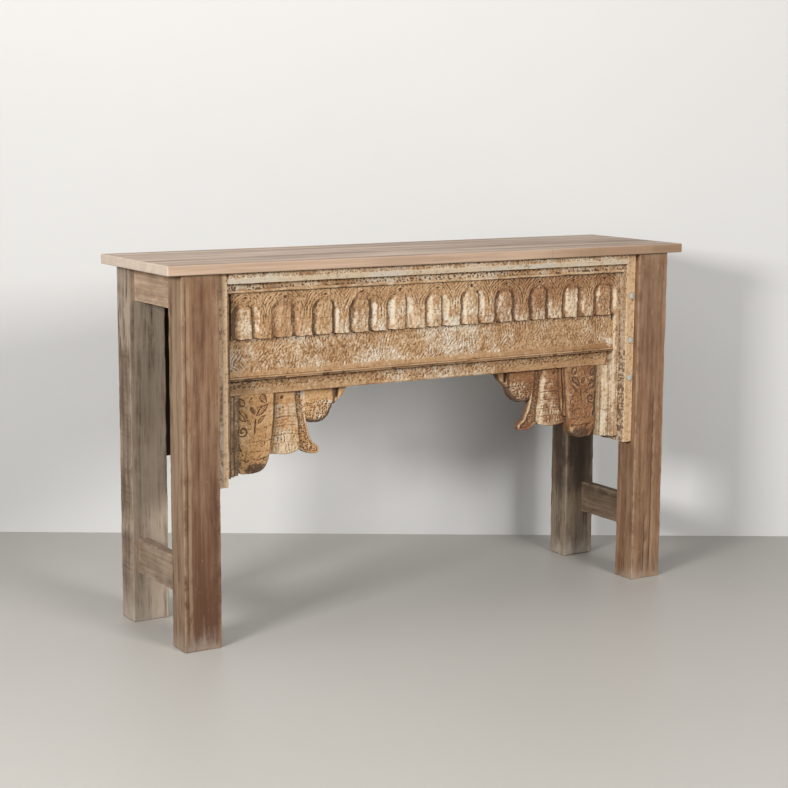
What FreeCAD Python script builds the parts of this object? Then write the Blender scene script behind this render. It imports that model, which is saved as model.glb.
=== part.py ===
import FreeCAD, Part
import math
import os

# A pier table made from sawn timber legs, a plank top and an old carved front.
# Millimetres. The origin is on the floor under the middle of the top, +X runs
# along the front to the right, +Y to the wall behind, +Z up.

os.makedirs("parts", exist_ok=True)
V = FreeCAD.Vector

# Top
HEIGHT = 850.0
TOP_LENGTH = 1400.0
TOP_DEPTH = 365.0
TOP_THICK = 22.0
FRONT_PLANK_WIDTH = 84.0
OTHER_PLANKS = 3
TOP_EDGE_ROUND = 2.5
TOP_CORNER_ROUND = 6.0

# Legs
LEG_WIDTH = 89.0
LEG_DEPTH = 68.0
LEG_EASE = 3.0
END_OVERHANG = 36.0
FRONT_OVERHANG = 12.0
REAR_OVERHANG = 4.0

# Side rails and stretchers, one board section for all four
RAIL_HEIGHT = 80.0
RAIL_THICK = 24.0
RAIL_SETBACK = 14.0
STRETCHER_BOTTOM = 118.0
TENON_THICK = 10.0
TENON_LENGTH = 34.0
TENON_SHOULDER = 15.0
JOINT_CLEARANCE = 0.2

# Carved front, from the top down
CORNICE_HEIGHT = 25.0
CORNICE_BEVEL_SHARE = 0.45
CORNICE_BEVEL_DEPTH = 12.0
COVE_HEIGHT = 16.0
COVE_HOLLOW = 7.0
FILLET_HEIGHT = 6.0
ARCADE_HEIGHT = 104.0
FRIEZE_HEIGHT = 84.0
LEDGE_HEIGHT = 8.0
BEAM_HEIGHT = 37.0
BRACKET_HEIGHT = 181.0
JAMB_DROP = 180.0
STILE_DROP = 193.0

# How far each front face lies behind the front faces of the legs
STILE_SETBACK = 14.5
CORNICE_SETBACK = 5.5
FILLET_SETBACK = 24.5
ARCADE_SETBACK = 29.5
LEDGE_SETBACK = 38.5
FRIEZE_SETBACK = 41.5
BEAM_SETBACK = 60.5
BACK_SETBACK = 105.5

# Widths at the ends of the carved front
STILE_WIDTH = 27.0
JAMB_STEP_WIDTHS = (17.0, 15.0, 15.0)
JAMB_STEP_SETBACKS = (37.0, 49.0, 60.0)
BEAM_JOINT_IN = 3.0
BEAM_JOINT_GAP = 0.4

# Niches of the arcade
ARCH_COUNT = 11
ARCH_HALF_WIDTH = 32.0
ARCH_END_MARGIN = 3.0
ARCH_SPRING = 62.0
ARCH_RISE = 28.0
ARCH_DEPTH = 9.0
TABLET_HALF_WIDTH = 17.0
TABLET_SPRING = 56.0
TABLET_RISE = 17.0
APEX_HOLE = 5.0

# Brackets: sideways sizes run from the jamb inwards, depths from the back face
TONGUE_WIDTH = 91.0
TONGUE_TAPER = 11.0
TONGUE_DEPTH = 39.0
TONGUE_END_RADIUS = 44.0
RIB_WIDTH = 16.0
RIB_DEPTH = 27.0
SKIRT_DEPTH = 21.0
SKIRT_TOP_WIDTH = 48.0
SKIRT_LENGTH = 146.0
SKIRT_FLARE = 17.0
TOE_DEPTH = 15.0
TOE_BAND = 26.0
TOE_REACH = 40.0
TOE_HEIGHT = 16.0
TOE_DIP = 6.0
BUD_DEPTH = 14.0
BUD_WIDTH = 79.0
BUD_DROP = 83.0
TIP_DEPTH = 21.0
TIP_WIDTH = 33.0
TIP_DROP = 42.0

# Behind the carved front
BATTEN_THICK = 22.0
BATTEN_WIDTH = 60.0
INNER_BATTEN_SHARE = 0.33
BATTEN_TOP_GAP = 4.0
OUTER_BATTEN_DROP = 150.0

# Rear posts and rear rail
POST_DEPTH = 45.0
POST_LENGTH = 448.0
REAR_RAIL_THICK = 24.0
REAR_TENON_LENGTH = 18.0

# Cross battens under the top
CROSS_BATTENS = 3
CROSS_BATTEN_REACH = 0.7
CROSS_BATTEN_WIDTH = 60.0
CROSS_BATTEN_THICK = 22.0
CROSS_BATTEN_GAP = 3.0

# Fasteners
DOWEL_DIAMETER = 12.0
DOWEL_IN_LEG = 34.0
DOWEL_IN_TOP = 13.0
DOWEL_SPACING = 44.0
DOWEL_ROW = 17.0
SCREW_DIAMETER = 4.5
SCREW_HEAD = 9.0
SCREW_HEAD_HEIGHT = 2.6
FACADE_SCREW_LENGTH = 42.0
POST_SCREW_LENGTH = 58.0
TOP_SCREW_LENGTH = 36.0
NAIL_DIAMETER = 4.0
NAIL_HEAD = 10.0
NAIL_HEAD_HEIGHT = 1.6
NAIL_LENGTH = 52.0
NAIL_ANGLE = 35.0
NAIL_DROPS = (105.0, 215.0, 309.0)
NAIL_FROM_LEG = 11.0
NAIL_SINK = 5.0
HOLE_CLEARANCE = 0.15

# Places that follow from the sizes
UNDER_TOP = HEIGHT - TOP_THICK
TOP_FRONT = -TOP_DEPTH / 2
TOP_REAR = TOP_DEPTH / 2
FRONT_FACE = TOP_FRONT + FRONT_OVERHANG
FRONT_LEG_BACK = FRONT_FACE + LEG_DEPTH
REAR_FACE = TOP_REAR - REAR_OVERHANG
REAR_LEG_FRONT = REAR_FACE - LEG_DEPTH
LEG_OUT = TOP_LENGTH / 2 - END_OVERHANG
LEG_IN = LEG_OUT - LEG_WIDTH
RAIL_OUT = LEG_OUT - RAIL_SETBACK
RAIL_IN = RAIL_OUT - RAIL_THICK
UPPER_RAIL_BOTTOM = UNDER_TOP - RAIL_HEIGHT
STILE_IN = LEG_IN - STILE_WIDTH
BOARD_END = STILE_IN - JAMB_STEP_WIDTHS[0]
JAMB_IN = STILE_IN - sum(JAMB_STEP_WIDTHS)
CORNICE_BOTTOM = UNDER_TOP - CORNICE_HEIGHT
FILLET_TOP = CORNICE_BOTTOM - COVE_HEIGHT
FILLET_BOTTOM = FILLET_TOP - FILLET_HEIGHT
ARCADE_BOTTOM = FILLET_BOTTOM - ARCADE_HEIGHT
FRIEZE_BOTTOM = ARCADE_BOTTOM - FRIEZE_HEIGHT
LEDGE_BOTTOM = FRIEZE_BOTTOM - LEDGE_HEIGHT
BEAM_BOTTOM = LEDGE_BOTTOM - BEAM_HEIGHT
BACK_FACE = FRONT_FACE + BACK_SETBACK
BRACKET_REACH = TONGUE_WIDTH + RIB_WIDTH + SKIRT_TOP_WIDTH + TOE_BAND + BUD_WIDTH + TIP_WIDTH
BEAM_JOINT_X = JAMB_IN - BRACKET_REACH + BEAM_JOINT_IN
OUTER_BATTEN_X = JAMB_IN - TONGUE_WIDTH / 2
INNER_BATTEN_X = OUTER_BATTEN_X * INNER_BATTEN_SHARE
POST_BOTTOM = UNDER_TOP - POST_LENGTH
BATTEN_BACK = BACK_FACE + BATTEN_THICK


def box(x, y, z):
    """A block between pairs of x, y and z."""
    low = V(min(x), min(y), min(z))
    return Part.makeBox(abs(x[1] - x[0]), abs(y[1] - y[0]), abs(z[1] - z[0]), low)


def rod(diameter, start, end):
    """A round bar between two points."""
    way = end - start
    return Part.makeCylinder(diameter / 2, way.Length, start, way)


def mirrored(shape):
    """The same piece for the other side of the table."""
    return shape.mirror(V(0, 0, 0), V(1, 0, 0))


def eased(shape, radius, wanted):
    """Rounds the edges that the function wanted picks."""
    edges = [e for e in shape.Edges if wanted(e)]
    return shape.makeFillet(radius, edges)


def upright(edge):
    way = edge.tangentAt(edge.FirstParameter)
    return abs(way.z) > 0.99


def outline_wire(start, steps):
    """A closed wire in the XZ plane: each step is a point, or a middle point and an end for an arc."""
    edges = []
    here = V(start[0], 0, start[1])
    for step in steps + [start]:
        if len(step) == 4:
            middle = V(step[0], 0, step[1])
            there = V(step[2], 0, step[3])
            edges.append(Part.Arc(here, middle, there).toShape())
        else:
            there = V(step[0], 0, step[1])
            if (there - here).Length < 1e-6:
                continue
            edges.append(Part.makeLine(here, there))
        here = there
    return Part.Wire(edges)


def plate(start, steps, front, back):
    """A flat piece with that outline, from its front to its back."""
    face = Part.Face(outline_wire(start, steps))
    face.translate(V(0, front, 0))
    return face.extrude(V(0, back - front, 0))


def moulding(points, x):
    """A run of moulding along X from (y, z) points of its section."""
    ring = [V(x[0], y, z) for y, z in points]
    face = Part.Face(Part.makePolygon(ring + [ring[0]]))
    return face.extrude(V(x[1] - x[0], 0, 0))


def screw(head, way, length):
    """A countersunk screw with its head flush at the point head, pointing along way."""
    way = V(way).normalize()
    neck = SCREW_HEAD_HEIGHT
    cone = Part.makeCone(SCREW_HEAD / 2, SCREW_DIAMETER / 2, neck, head, way)
    shank = rod(SCREW_DIAMETER, head + way * (neck * 0.5), head + way * length)
    return cone.fuse(shank)


def screw_hole(head, way, length):
    """The hole for one screw, a little wider and deeper than it."""
    way = V(way).normalize()
    wide = HOLE_CLEARANCE * 2
    neck = SCREW_HEAD_HEIGHT
    cone = Part.makeCone(SCREW_HEAD / 2 + HOLE_CLEARANCE, SCREW_DIAMETER / 2 + HOLE_CLEARANCE, neck, head, way)
    shank = rod(SCREW_DIAMETER + wide, head, head + way * (length + HOLE_CLEARANCE))
    return cone.fuse(shank)


def without(shape, holes):
    """The piece with its holes cut."""
    return shape.cut(holes) if holes else shape


def meets(shape, holes):
    """The holes that reach into a piece."""
    return [h for h in holes if h.BoundBox.intersect(shape.BoundBox)]


def save(name, shape):
    clean = shape.removeSplitter()
    clean.exportStep("parts/" + name + ".step")
    print(name, len(clean.Solids), round(clean.Volume / 1000, 1))


def leg_at(side, y):
    """One leg, with eased arrises, before its joints are cut."""
    x = (side * LEG_IN, side * LEG_OUT)
    post = box(x, y, (0, UNDER_TOP))
    return eased(post, LEG_EASE, upright)


def rail_at(side, bottom):
    """A side rail with a tenon at each end."""
    x = (side * RAIL_IN, side * RAIL_OUT)
    body = box(x, (FRONT_LEG_BACK, REAR_LEG_FRONT), (bottom, bottom + RAIL_HEIGHT))
    return body.fuse(tenon_at(side, bottom, 0.0))


def tenon_at(side, bottom, room):
    """The bar of both tenons of a side rail, or of their mortises with some room round it."""
    middle = side * (RAIL_IN + RAIL_THICK / 2)
    half = TENON_THICK / 2 + room
    y = (FRONT_LEG_BACK - TENON_LENGTH - room, REAR_LEG_FRONT + TENON_LENGTH + room)
    z = (bottom + TENON_SHOULDER - room, bottom + RAIL_HEIGHT - TENON_SHOULDER + room)
    return box((middle - half, middle + half), y, z)


def dowel_points():
    """Where the dowels stand on the leg tops."""
    middle = (LEG_IN + LEG_OUT) / 2
    rows = (FRONT_FACE + DOWEL_ROW, REAR_FACE - DOWEL_ROW)
    reach = DOWEL_SPACING / 2
    return [(s * middle + d, y) for s in (-1, 1) for y in rows for d in (-reach, reach)]


def dowels(room):
    """All the dowels, or the holes for them with some room round them."""
    bars = []
    for x, y in dowel_points():
        low = V(x, y, UNDER_TOP - DOWEL_IN_LEG - room)
        high = V(x, y, UNDER_TOP + DOWEL_IN_TOP + room)
        bars.append(rod(DOWEL_DIAMETER + 2 * room, low, high))
    return bars


def nail_line(side, drop):
    """The point of a nail's head and the way it was driven, aslant into the leg."""
    turn = math.radians(NAIL_ANGLE)
    sink = NAIL_SINK if side < 0 else 0.0
    way = V(side * math.sin(turn), math.cos(turn), 0)
    head = V(side * (LEG_IN - NAIL_FROM_LEG), FRONT_FACE + STILE_SETBACK, UNDER_TOP - drop)
    return head + way * sink, way


def nail(side, drop, room):
    """A nail, or the hole it sits in. A sunk one has its hole open to the front."""
    head, way = nail_line(side, drop)
    wide = 2 * room
    shank = rod(NAIL_DIAMETER + wide, head, head + way * (NAIL_LENGTH + room))
    back = NAIL_HEAD_HEIGHT if room == 0.0 else NAIL_SINK + NAIL_HEAD_HEIGHT * 2
    cap = rod(NAIL_HEAD + wide, head - way * (back - NAIL_HEAD_HEIGHT), head + way * NAIL_HEAD_HEIGHT)
    return shank.fuse(cap)


def nails(room):
    return [nail(s, drop, room) for s in (-1, 1) for drop in NAIL_DROPS]


def batten_places():
    """Middle x and bottom z of each upright batten behind the carving."""
    low = BEAM_BOTTOM - OUTER_BATTEN_DROP
    inner = BEAM_BOTTOM + BATTEN_TOP_GAP
    return {
        "back_batten_outer_left": (-OUTER_BATTEN_X, low),
        "back_batten_inner_left": (-INNER_BATTEN_X, inner),
        "back_batten_inner_right": (INNER_BATTEN_X, inner),
        "back_batten_outer_right": (OUTER_BATTEN_X, low),
    }


def facade_screws():
    """Head points of the screws from the battens into the carved boards."""
    levels = [
        UNDER_TOP - CORNICE_HEIGHT / 2,
        CORNICE_BOTTOM - COVE_HEIGHT / 2,
        ARCADE_BOTTOM + ARCADE_HEIGHT / 2,
        FRIEZE_BOTTOM + FRIEZE_HEIGHT / 2,
        BEAM_BOTTOM + BEAM_HEIGHT / 2,
    ]
    low = [BEAM_BOTTOM - OUTER_BATTEN_DROP * share for share in (0.3, 0.75)]
    heads = []
    for x, bottom in batten_places().values():
        wanted = levels + (low if bottom < BEAM_BOTTOM else [])
        heads += [V(x, BATTEN_BACK, z) for z in wanted]
    return heads


def post_screws():
    """Head points and ways of the screws from the rear posts into the legs."""
    y = REAR_FACE - POST_DEPTH * 0.75
    span = UPPER_RAIL_BOTTOM - POST_BOTTOM
    heights = [POST_BOTTOM + span * share for share in (0.12, 0.5, 0.88)]
    return [(V(s * STILE_IN, y, z), V(s, 0, 0)) for s in (-1, 1) for z in heights]


def plank_rows():
    """Front and rear y of each top plank."""
    rest = (TOP_DEPTH - FRONT_PLANK_WIDTH) / OTHER_PLANKS
    first = TOP_FRONT + FRONT_PLANK_WIDTH
    rows = [(TOP_FRONT, first)]
    return rows + [(first + rest * n, first + rest * (n + 1)) for n in range(OTHER_PLANKS)]


def cross_batten_places():
    """Middle x of each cross batten, spread evenly between the legs."""
    reach = LEG_IN * CROSS_BATTEN_REACH
    return [-reach + 2 * reach * n / (CROSS_BATTENS - 1) for n in range(CROSS_BATTENS)]


def cross_batten_ends():
    front = BATTEN_BACK + CROSS_BATTEN_GAP
    return front, REAR_FACE - REAR_RAIL_THICK - CROSS_BATTEN_GAP


def top_screws():
    """Head points of the screws from the cross battens up into the planks."""
    front, rear = cross_batten_ends()
    heads = []
    for x in cross_batten_places():
        for low, high in plank_rows()[1:]:
            y = (max(low, front) + min(high, rear)) / 2
            heads.append(V(x, y, UNDER_TOP - CROSS_BATTEN_THICK))
    return heads


def top_planks(holes):
    """The whole top is rounded first, then sawn into planks along its glue lines."""
    x = (-TOP_LENGTH / 2, TOP_LENGTH / 2)
    slab = box(x, (TOP_FRONT, TOP_REAR), (UNDER_TOP, HEIGHT))
    slab = eased(slab, TOP_CORNER_ROUND, upright)
    slab = eased(slab, TOP_EDGE_ROUND, lambda e: abs(e.BoundBox.ZMax - e.BoundBox.ZMin) < 1e-6)
    planks = []
    for row in plank_rows():
        plank = slab.common(box(x, row, (UNDER_TOP, HEIGHT)))
        planks.append(without(plank, meets(plank, holes)))
    return planks


def cornice():
    """Pitted upper face, bevelled lower face."""
    front = FRONT_FACE + CORNICE_SETBACK
    turn = CORNICE_BOTTOM + CORNICE_HEIGHT * CORNICE_BEVEL_SHARE
    section = [
        (front, UNDER_TOP),
        (front, turn),
        (front + CORNICE_BEVEL_DEPTH, CORNICE_BOTTOM),
        (BACK_FACE, CORNICE_BOTTOM),
        (BACK_FACE, UNDER_TOP),
    ]
    return moulding(section, (-STILE_IN, STILE_IN))


def cove():
    """A hollow strip over a thin fillet."""
    front = FRONT_FACE + FILLET_SETBACK
    body = box((-STILE_IN, STILE_IN), (front, BACK_FACE), (FILLET_BOTTOM, CORNICE_BOTTOM))
    middle = (FILLET_TOP + CORNICE_BOTTOM) / 2
    half = COVE_HEIGHT / 2
    radius = (half * half + COVE_HOLLOW * COVE_HOLLOW) / (2 * COVE_HOLLOW)
    centre = front + COVE_HOLLOW - radius
    start = V(-STILE_IN, centre, middle)
    return body.cut(Part.makeCylinder(radius, 2 * STILE_IN, start, V(1, 0, 0)))


def arch(x, half, spring, rise):
    """A pointed arch standing on the arcade's lower edge."""
    foot = ARCADE_BOTTOM
    shoulder = foot + spring
    top = shoulder + rise
    steps = [
        (x + half, shoulder),
        (x + half * 0.68, shoulder + rise * 0.68, x, top),
        (x - half * 0.68, shoulder + rise * 0.68, x - half, shoulder),
        (x - half, foot),
    ]
    front = FRONT_FACE + ARCADE_SETBACK
    return plate((x + half, foot), steps, front, front + ARCH_DEPTH)


def arch_places():
    reach = BOARD_END - ARCH_END_MARGIN - ARCH_HALF_WIDTH
    return [-reach + 2 * reach * n / (ARCH_COUNT - 1) for n in range(ARCH_COUNT)]


def arcade():
    """A board with a row of pointed niches, each round a raised tablet with a drilled point."""
    front = FRONT_FACE + ARCADE_SETBACK
    x = (-BOARD_END, BOARD_END)
    board = box(x, (front, BACK_FACE), (ARCADE_BOTTOM, FILLET_BOTTOM))
    cuts = []
    for at in arch_places():
        niche = arch(at, ARCH_HALF_WIDTH, ARCH_SPRING, ARCH_RISE)
        cuts.append(niche.cut(arch(at, TABLET_HALF_WIDTH, TABLET_SPRING, TABLET_RISE)))
        point = V(at, front, ARCADE_BOTTOM + ARCH_SPRING + ARCH_RISE)
        cuts.append(rod(APEX_HOLE, point, point + V(0, ARCH_DEPTH, 0)))
    return board.cut(cuts)


def straight_board(setback, low, high):
    """A plain board of the carved front between the jambs."""
    return box((-BOARD_END, BOARD_END), (FRONT_FACE + setback, BACK_FACE), (low, high))


def beam(x):
    return box(x, (FRONT_FACE + BEAM_SETBACK, BACK_FACE), (BEAM_BOTTOM, LEDGE_BOTTOM))


def stile(side):
    x = (side * STILE_IN, side * LEG_IN)
    return box(x, (FRONT_FACE + STILE_SETBACK, BACK_FACE), (BEAM_BOTTOM - STILE_DROP, UNDER_TOP))


def jamb(side):
    """Upright steps beside the stile. The first rises to the cove, the others carry the beam."""
    outer = STILE_IN
    strips = []
    for n, width in enumerate(JAMB_STEP_WIDTHS):
        top = FILLET_BOTTOM if n == 0 else BEAM_BOTTOM
        y = (FRONT_FACE + JAMB_STEP_SETBACKS[n], BACK_FACE)
        x = (side * (outer - width), side * outer)
        strips.append(box(x, y, (BEAM_BOTTOM - JAMB_DROP, top)))
        outer -= width
    return strips[0].fuse(strips[1:])


def bracket_tongue(out, foot):
    """The leaf plate beside the jamb, tapered and with a blunt rounded end."""
    near = out - TONGUE_WIDTH
    low = near + TONGUE_TAPER
    curve = foot + TONGUE_END_RADIUS
    steps = [
        (out, BEAM_BOTTOM),
        (near, BEAM_BOTTOM),
        (low, curve),
        (low + TONGUE_END_RADIUS * 0.16, foot + TONGUE_END_RADIUS * 0.4, low + TONGUE_END_RADIUS * 0.7, foot),
        (out - TONGUE_END_RADIUS * 0.36, foot),
    ]
    return plate((out, foot + TONGUE_END_RADIUS * 0.4), steps, BACK_FACE - TONGUE_DEPTH, BACK_FACE)


def bracket_skirt(out):
    """The bell-shaped skirt and the ribs between it and the tongue, both lapped behind the tongue."""
    foot = BEAM_BOTTOM - SKIRT_LENGTH
    high = foot + SKIRT_LENGTH * 0.25
    lapped = out + RIB_WIDTH
    left = out - RIB_WIDTH
    edge = [(lapped, BEAM_BOTTOM), (left, BEAM_BOTTOM), (left + TONGUE_TAPER, high)]
    ribs = plate((lapped, high), edge, BACK_FACE - RIB_DEPTH, BACK_FACE)
    near = left - SKIRT_TOP_WIDTH
    steps = [
        (near, BEAM_BOTTOM),
        (near - SKIRT_FLARE * 0.45, foot + SKIRT_LENGTH * 0.48, near - SKIRT_FLARE, foot + SKIRT_LENGTH * 0.05),
        (left - SKIRT_TOP_WIDTH * 0.5, foot, left + SKIRT_FLARE, foot + SKIRT_LENGTH * 0.02),
        (lapped, foot + SKIRT_LENGTH * 0.02),
    ]
    return ribs.fuse(plate((lapped, BEAM_BOTTOM), steps, BACK_FACE - SKIRT_DEPTH, BACK_FACE))


def bracket_toe(out):
    """The band along the skirt that ends in an upturned toe, lapped behind the skirt."""
    foot = BEAM_BOTTOM - SKIRT_LENGTH
    near = out - TOE_BAND
    tip = near - TOE_REACH
    heel = out - SKIRT_FLARE
    ankle = (near - TOE_REACH * 0.52, foot + TOE_HEIGHT * 1.5)
    steps = [
        (near, BEAM_BOTTOM),
        (near - TOE_REACH * 0.15, foot + SKIRT_LENGTH * 0.5) + ankle,
        (near - TOE_REACH * 0.72, foot + TOE_HEIGHT * 0.95, tip, foot + TOE_HEIGHT * 0.55),
        (tip, foot - TOE_DIP),
        (heel - TOE_BAND * 0.9, foot - TOE_DIP, heel, foot + SKIRT_LENGTH * 0.05),
        (out, foot + SKIRT_LENGTH * 0.05),
    ]
    lapped = out + TOE_BAND * 0.5
    return plate((lapped, BEAM_BOTTOM), steps, BACK_FACE - TOE_DEPTH, BACK_FACE)


def bracket_bud(out):
    """The quarter-round bud, lapped behind the toe's band, with the scalloped tip beside it."""
    near = out - BUD_WIDTH
    lapped = out + TOE_BAND * 0.4
    foot = BEAM_BOTTOM - BUD_DROP
    steps = [
        (near, BEAM_BOTTOM),
        (near, BEAM_BOTTOM - BUD_DROP * 0.5),
        (near + BUD_WIDTH * 0.15, foot + BUD_DROP * 0.2, near + BUD_WIDTH * 0.58, foot),
        (lapped, foot + BUD_DROP * 0.07),
    ]
    bud = plate((lapped, BEAM_BOTTOM), steps, BACK_FACE - BUD_DEPTH, BACK_FACE)
    tip = near - TIP_WIDTH
    middle = near - TIP_WIDTH * 0.45
    scallop = [
        (tip, BEAM_BOTTOM),
        (tip + TIP_WIDTH * 0.3, BEAM_BOTTOM - TIP_DROP * 0.4, middle, BEAM_BOTTOM - TIP_DROP * 0.62),
        (near - TIP_WIDTH * 0.1, BEAM_BOTTOM - TIP_DROP * 0.78, near, BEAM_BOTTOM - TIP_DROP),
    ]
    return bud.fuse(plate((near, BEAM_BOTTOM), scallop, BACK_FACE - TIP_DEPTH, BACK_FACE))


def bracket():
    """The right-hand bracket, carved from one block: tongue, ribs, skirt, toe, bud and tip."""
    foot = BEAM_BOTTOM - BRACKET_HEIGHT
    tongue = bracket_tongue(JAMB_IN, foot)
    skirt_out = JAMB_IN - TONGUE_WIDTH
    toe_out = skirt_out - RIB_WIDTH - SKIRT_TOP_WIDTH
    bud_out = toe_out - TOE_BAND
    others = [bracket_skirt(skirt_out), bracket_toe(toe_out), bracket_bud(bud_out)]
    return tongue.fuse(others)


def rear_post(side):
    x = (side * STILE_IN, side * LEG_IN)
    return box(x, (REAR_FACE - POST_DEPTH, REAR_FACE), (POST_BOTTOM, UNDER_TOP))


def rear_rail():
    """The long rail at the back, with a tenon into each rear post."""
    y = (REAR_FACE - REAR_RAIL_THICK, REAR_FACE)
    body = box((-STILE_IN, STILE_IN), y, (UPPER_RAIL_BOTTOM, UNDER_TOP))
    return body.fuse(rear_tenon(0.0))


def rear_tenon(room):
    middle = REAR_FACE - REAR_RAIL_THICK / 2
    half = TENON_THICK / 2 + room
    reach = STILE_IN + REAR_TENON_LENGTH + room
    z = (UPPER_RAIL_BOTTOM + TENON_SHOULDER - room, UNDER_TOP - TENON_SHOULDER + room)
    return box((-reach, reach), (middle - half, middle + half), z)


def build():
    nail_holes = nails(HOLE_CLEARANCE)
    dowel_holes = dowels(HOLE_CLEARANCE)
    back = V(0, -1, 0)
    facade_holes = [screw_hole(p, back, FACADE_SCREW_LENGTH) for p in facade_screws()]
    post_holes = [screw_hole(p, way, POST_SCREW_LENGTH) for p, way in post_screws()]
    top_holes = [screw_hole(p, V(0, 0, 1), TOP_SCREW_LENGTH) for p in top_screws()]

    for n, plank in enumerate(top_planks(dowel_holes + top_holes)):
        save("top_plank_%d" % (n + 1), plank)

    mortises = []
    for side in (-1, 1):
        for bottom in (UPPER_RAIL_BOTTOM, STRETCHER_BOTTOM):
            mortises.append(tenon_at(side, bottom, JOINT_CLEARANCE))
    leg_cuts = mortises + dowel_holes + nail_holes + post_holes
    rows = {"front": (FRONT_FACE, FRONT_LEG_BACK), "rear": (REAR_LEG_FRONT, REAR_FACE)}
    for side, word in ((-1, "left"), (1, "right")):
        for row, y in rows.items():
            post = leg_at(side, y)
            save("leg_%s_%s" % (row, word), without(post, meets(post, leg_cuts)))
        save("side_rail_" + word, rail_at(side, UPPER_RAIL_BOTTOM))
        save("stretcher_" + word, rail_at(side, STRETCHER_BOTTOM))
        board = stile(side)
        save("stile_" + word, without(board, meets(board, nail_holes)))
        save("jamb_" + word, jamb(side))
        post = rear_post(side)
        save("rear_post_" + word, without(post, [rear_tenon(JOINT_CLEARANCE)] + meets(post, post_holes)))
        block = bracket() if side > 0 else mirrored(bracket())
        save("bracket_" + word, without(block, meets(block, facade_holes)))

    boards = {
        "cornice": cornice(),
        "cove": cove(),
        "arcade": arcade(),
        "frieze": straight_board(FRIEZE_SETBACK, FRIEZE_BOTTOM, ARCADE_BOTTOM),
        "ledge": straight_board(LEDGE_SETBACK, LEDGE_BOTTOM, FRIEZE_BOTTOM),
        "beam": beam((-BOARD_END, BEAM_JOINT_X)),
        "beam_end": beam((BEAM_JOINT_X + BEAM_JOINT_GAP, BOARD_END)),
    }
    for name, board in boards.items():
        save(name, without(board, meets(board, facade_holes)))

    for name, (x, bottom) in batten_places().items():
        half = BATTEN_WIDTH / 2
        strip = box((x - half, x + half), (BACK_FACE, BATTEN_BACK), (bottom, UNDER_TOP - BATTEN_TOP_GAP))
        save(name, without(strip, meets(strip, facade_holes)))

    save("rear_rail", rear_rail())

    for n, x in enumerate(cross_batten_places()):
        half = CROSS_BATTEN_WIDTH / 2
        strip = box((x - half, x + half), cross_batten_ends(), (UNDER_TOP - CROSS_BATTEN_THICK, UNDER_TOP))
        save("cross_batten_%d" % (n + 1), without(strip, meets(strip, top_holes)))

    save("leg_dowels", Part.makeCompound(dowels(0.0)))
    save("stile_nails", Part.makeCompound(nails(0.0)))
    save("facade_screws", Part.makeCompound([screw(p, back, FACADE_SCREW_LENGTH) for p in facade_screws()]))
    save("post_screws", Part.makeCompound([screw(p, way, POST_SCREW_LENGTH) for p, way in post_screws()]))
    save("top_screws", Part.makeCompound([screw(p, V(0, 0, 1), TOP_SCREW_LENGTH) for p in top_screws()]))


build()
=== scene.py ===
# %% [markdown]
# A pier table: four square timber legs, a plank top, and across the front an old carved house
# beam with a row of pointed niches and a leaf bracket at each end. The solids come in first as a
# fixed frame. Everything below is measured from them, so a dressed piece always sits where its
# plain solid was. Shapes are worked out in millimetres until a mesh is made; finishes, lamps and
# camera count in metres.

# %% Load the frame
import math
import bpy
import numpy as np
from mathutils import Matrix, Vector


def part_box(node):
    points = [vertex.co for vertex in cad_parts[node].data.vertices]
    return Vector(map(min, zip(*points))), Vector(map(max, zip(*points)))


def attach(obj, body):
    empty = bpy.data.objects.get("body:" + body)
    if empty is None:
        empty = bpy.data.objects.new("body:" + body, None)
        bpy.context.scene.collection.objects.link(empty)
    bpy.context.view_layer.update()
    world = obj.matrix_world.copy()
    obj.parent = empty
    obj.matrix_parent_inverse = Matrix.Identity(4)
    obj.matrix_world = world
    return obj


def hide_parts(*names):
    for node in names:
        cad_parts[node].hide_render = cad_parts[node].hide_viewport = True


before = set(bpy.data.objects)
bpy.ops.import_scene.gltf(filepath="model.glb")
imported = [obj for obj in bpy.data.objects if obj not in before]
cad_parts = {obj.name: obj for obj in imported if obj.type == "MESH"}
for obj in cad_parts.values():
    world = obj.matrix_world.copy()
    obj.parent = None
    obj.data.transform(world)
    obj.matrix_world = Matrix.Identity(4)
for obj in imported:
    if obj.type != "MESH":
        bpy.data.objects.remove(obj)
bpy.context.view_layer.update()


def span(node):
    """Lowest and highest corner of a solid, in mm."""
    low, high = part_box(node)
    return np.array(low) * 1000, np.array(high) * 1000

# %% [markdown]
# Old wood is never even, and each run of this file has to give the same table. So all chance comes
# from a hash of whole numbers: the same cell always gets the same value. Smooth noise blends the
# values at the corners of a cell, and pits put one round dent near the middle of each cell, which
# is how a carver's punch leaves a stippled ground.

# %% Chance that repeats
def chance(i, j, k, seed):
    """A fixed value from 0 to 1 for each cell of whole numbers."""
    h = (i * 374761393 + j * 668265263 + k * 1440662683 + seed * 974711) & 0xFFFFFFFF
    h = ((h ^ (h >> 13)) * 1274126177) & 0xFFFFFFFF
    return ((h ^ (h >> 16)) & 0xFFFF) / 0xFFFF


def noise(x, y, z, size, seed):
    """Smooth values from -1 to 1. size is how wide a blotch is along x, y and z."""
    cells, parts = [], []
    for v, s in zip(np.broadcast_arrays(x, y, z), size):
        v = np.asarray(v, float) / s
        cell = np.floor(v).astype(np.int64)
        part = v - cell
        cells.append(cell)
        parts.append(part * part * (3 - 2 * part))
    total = 0.0
    for corner in range(8):
        step = [corner >> n & 1 for n in range(3)]
        weight = 1.0
        for part, s in zip(parts, step):
            weight = weight * (part if s else 1 - part)
        total = total + weight * chance(*[c + s for c, s in zip(cells, step)], seed)
    return 2 * total - 1


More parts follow.
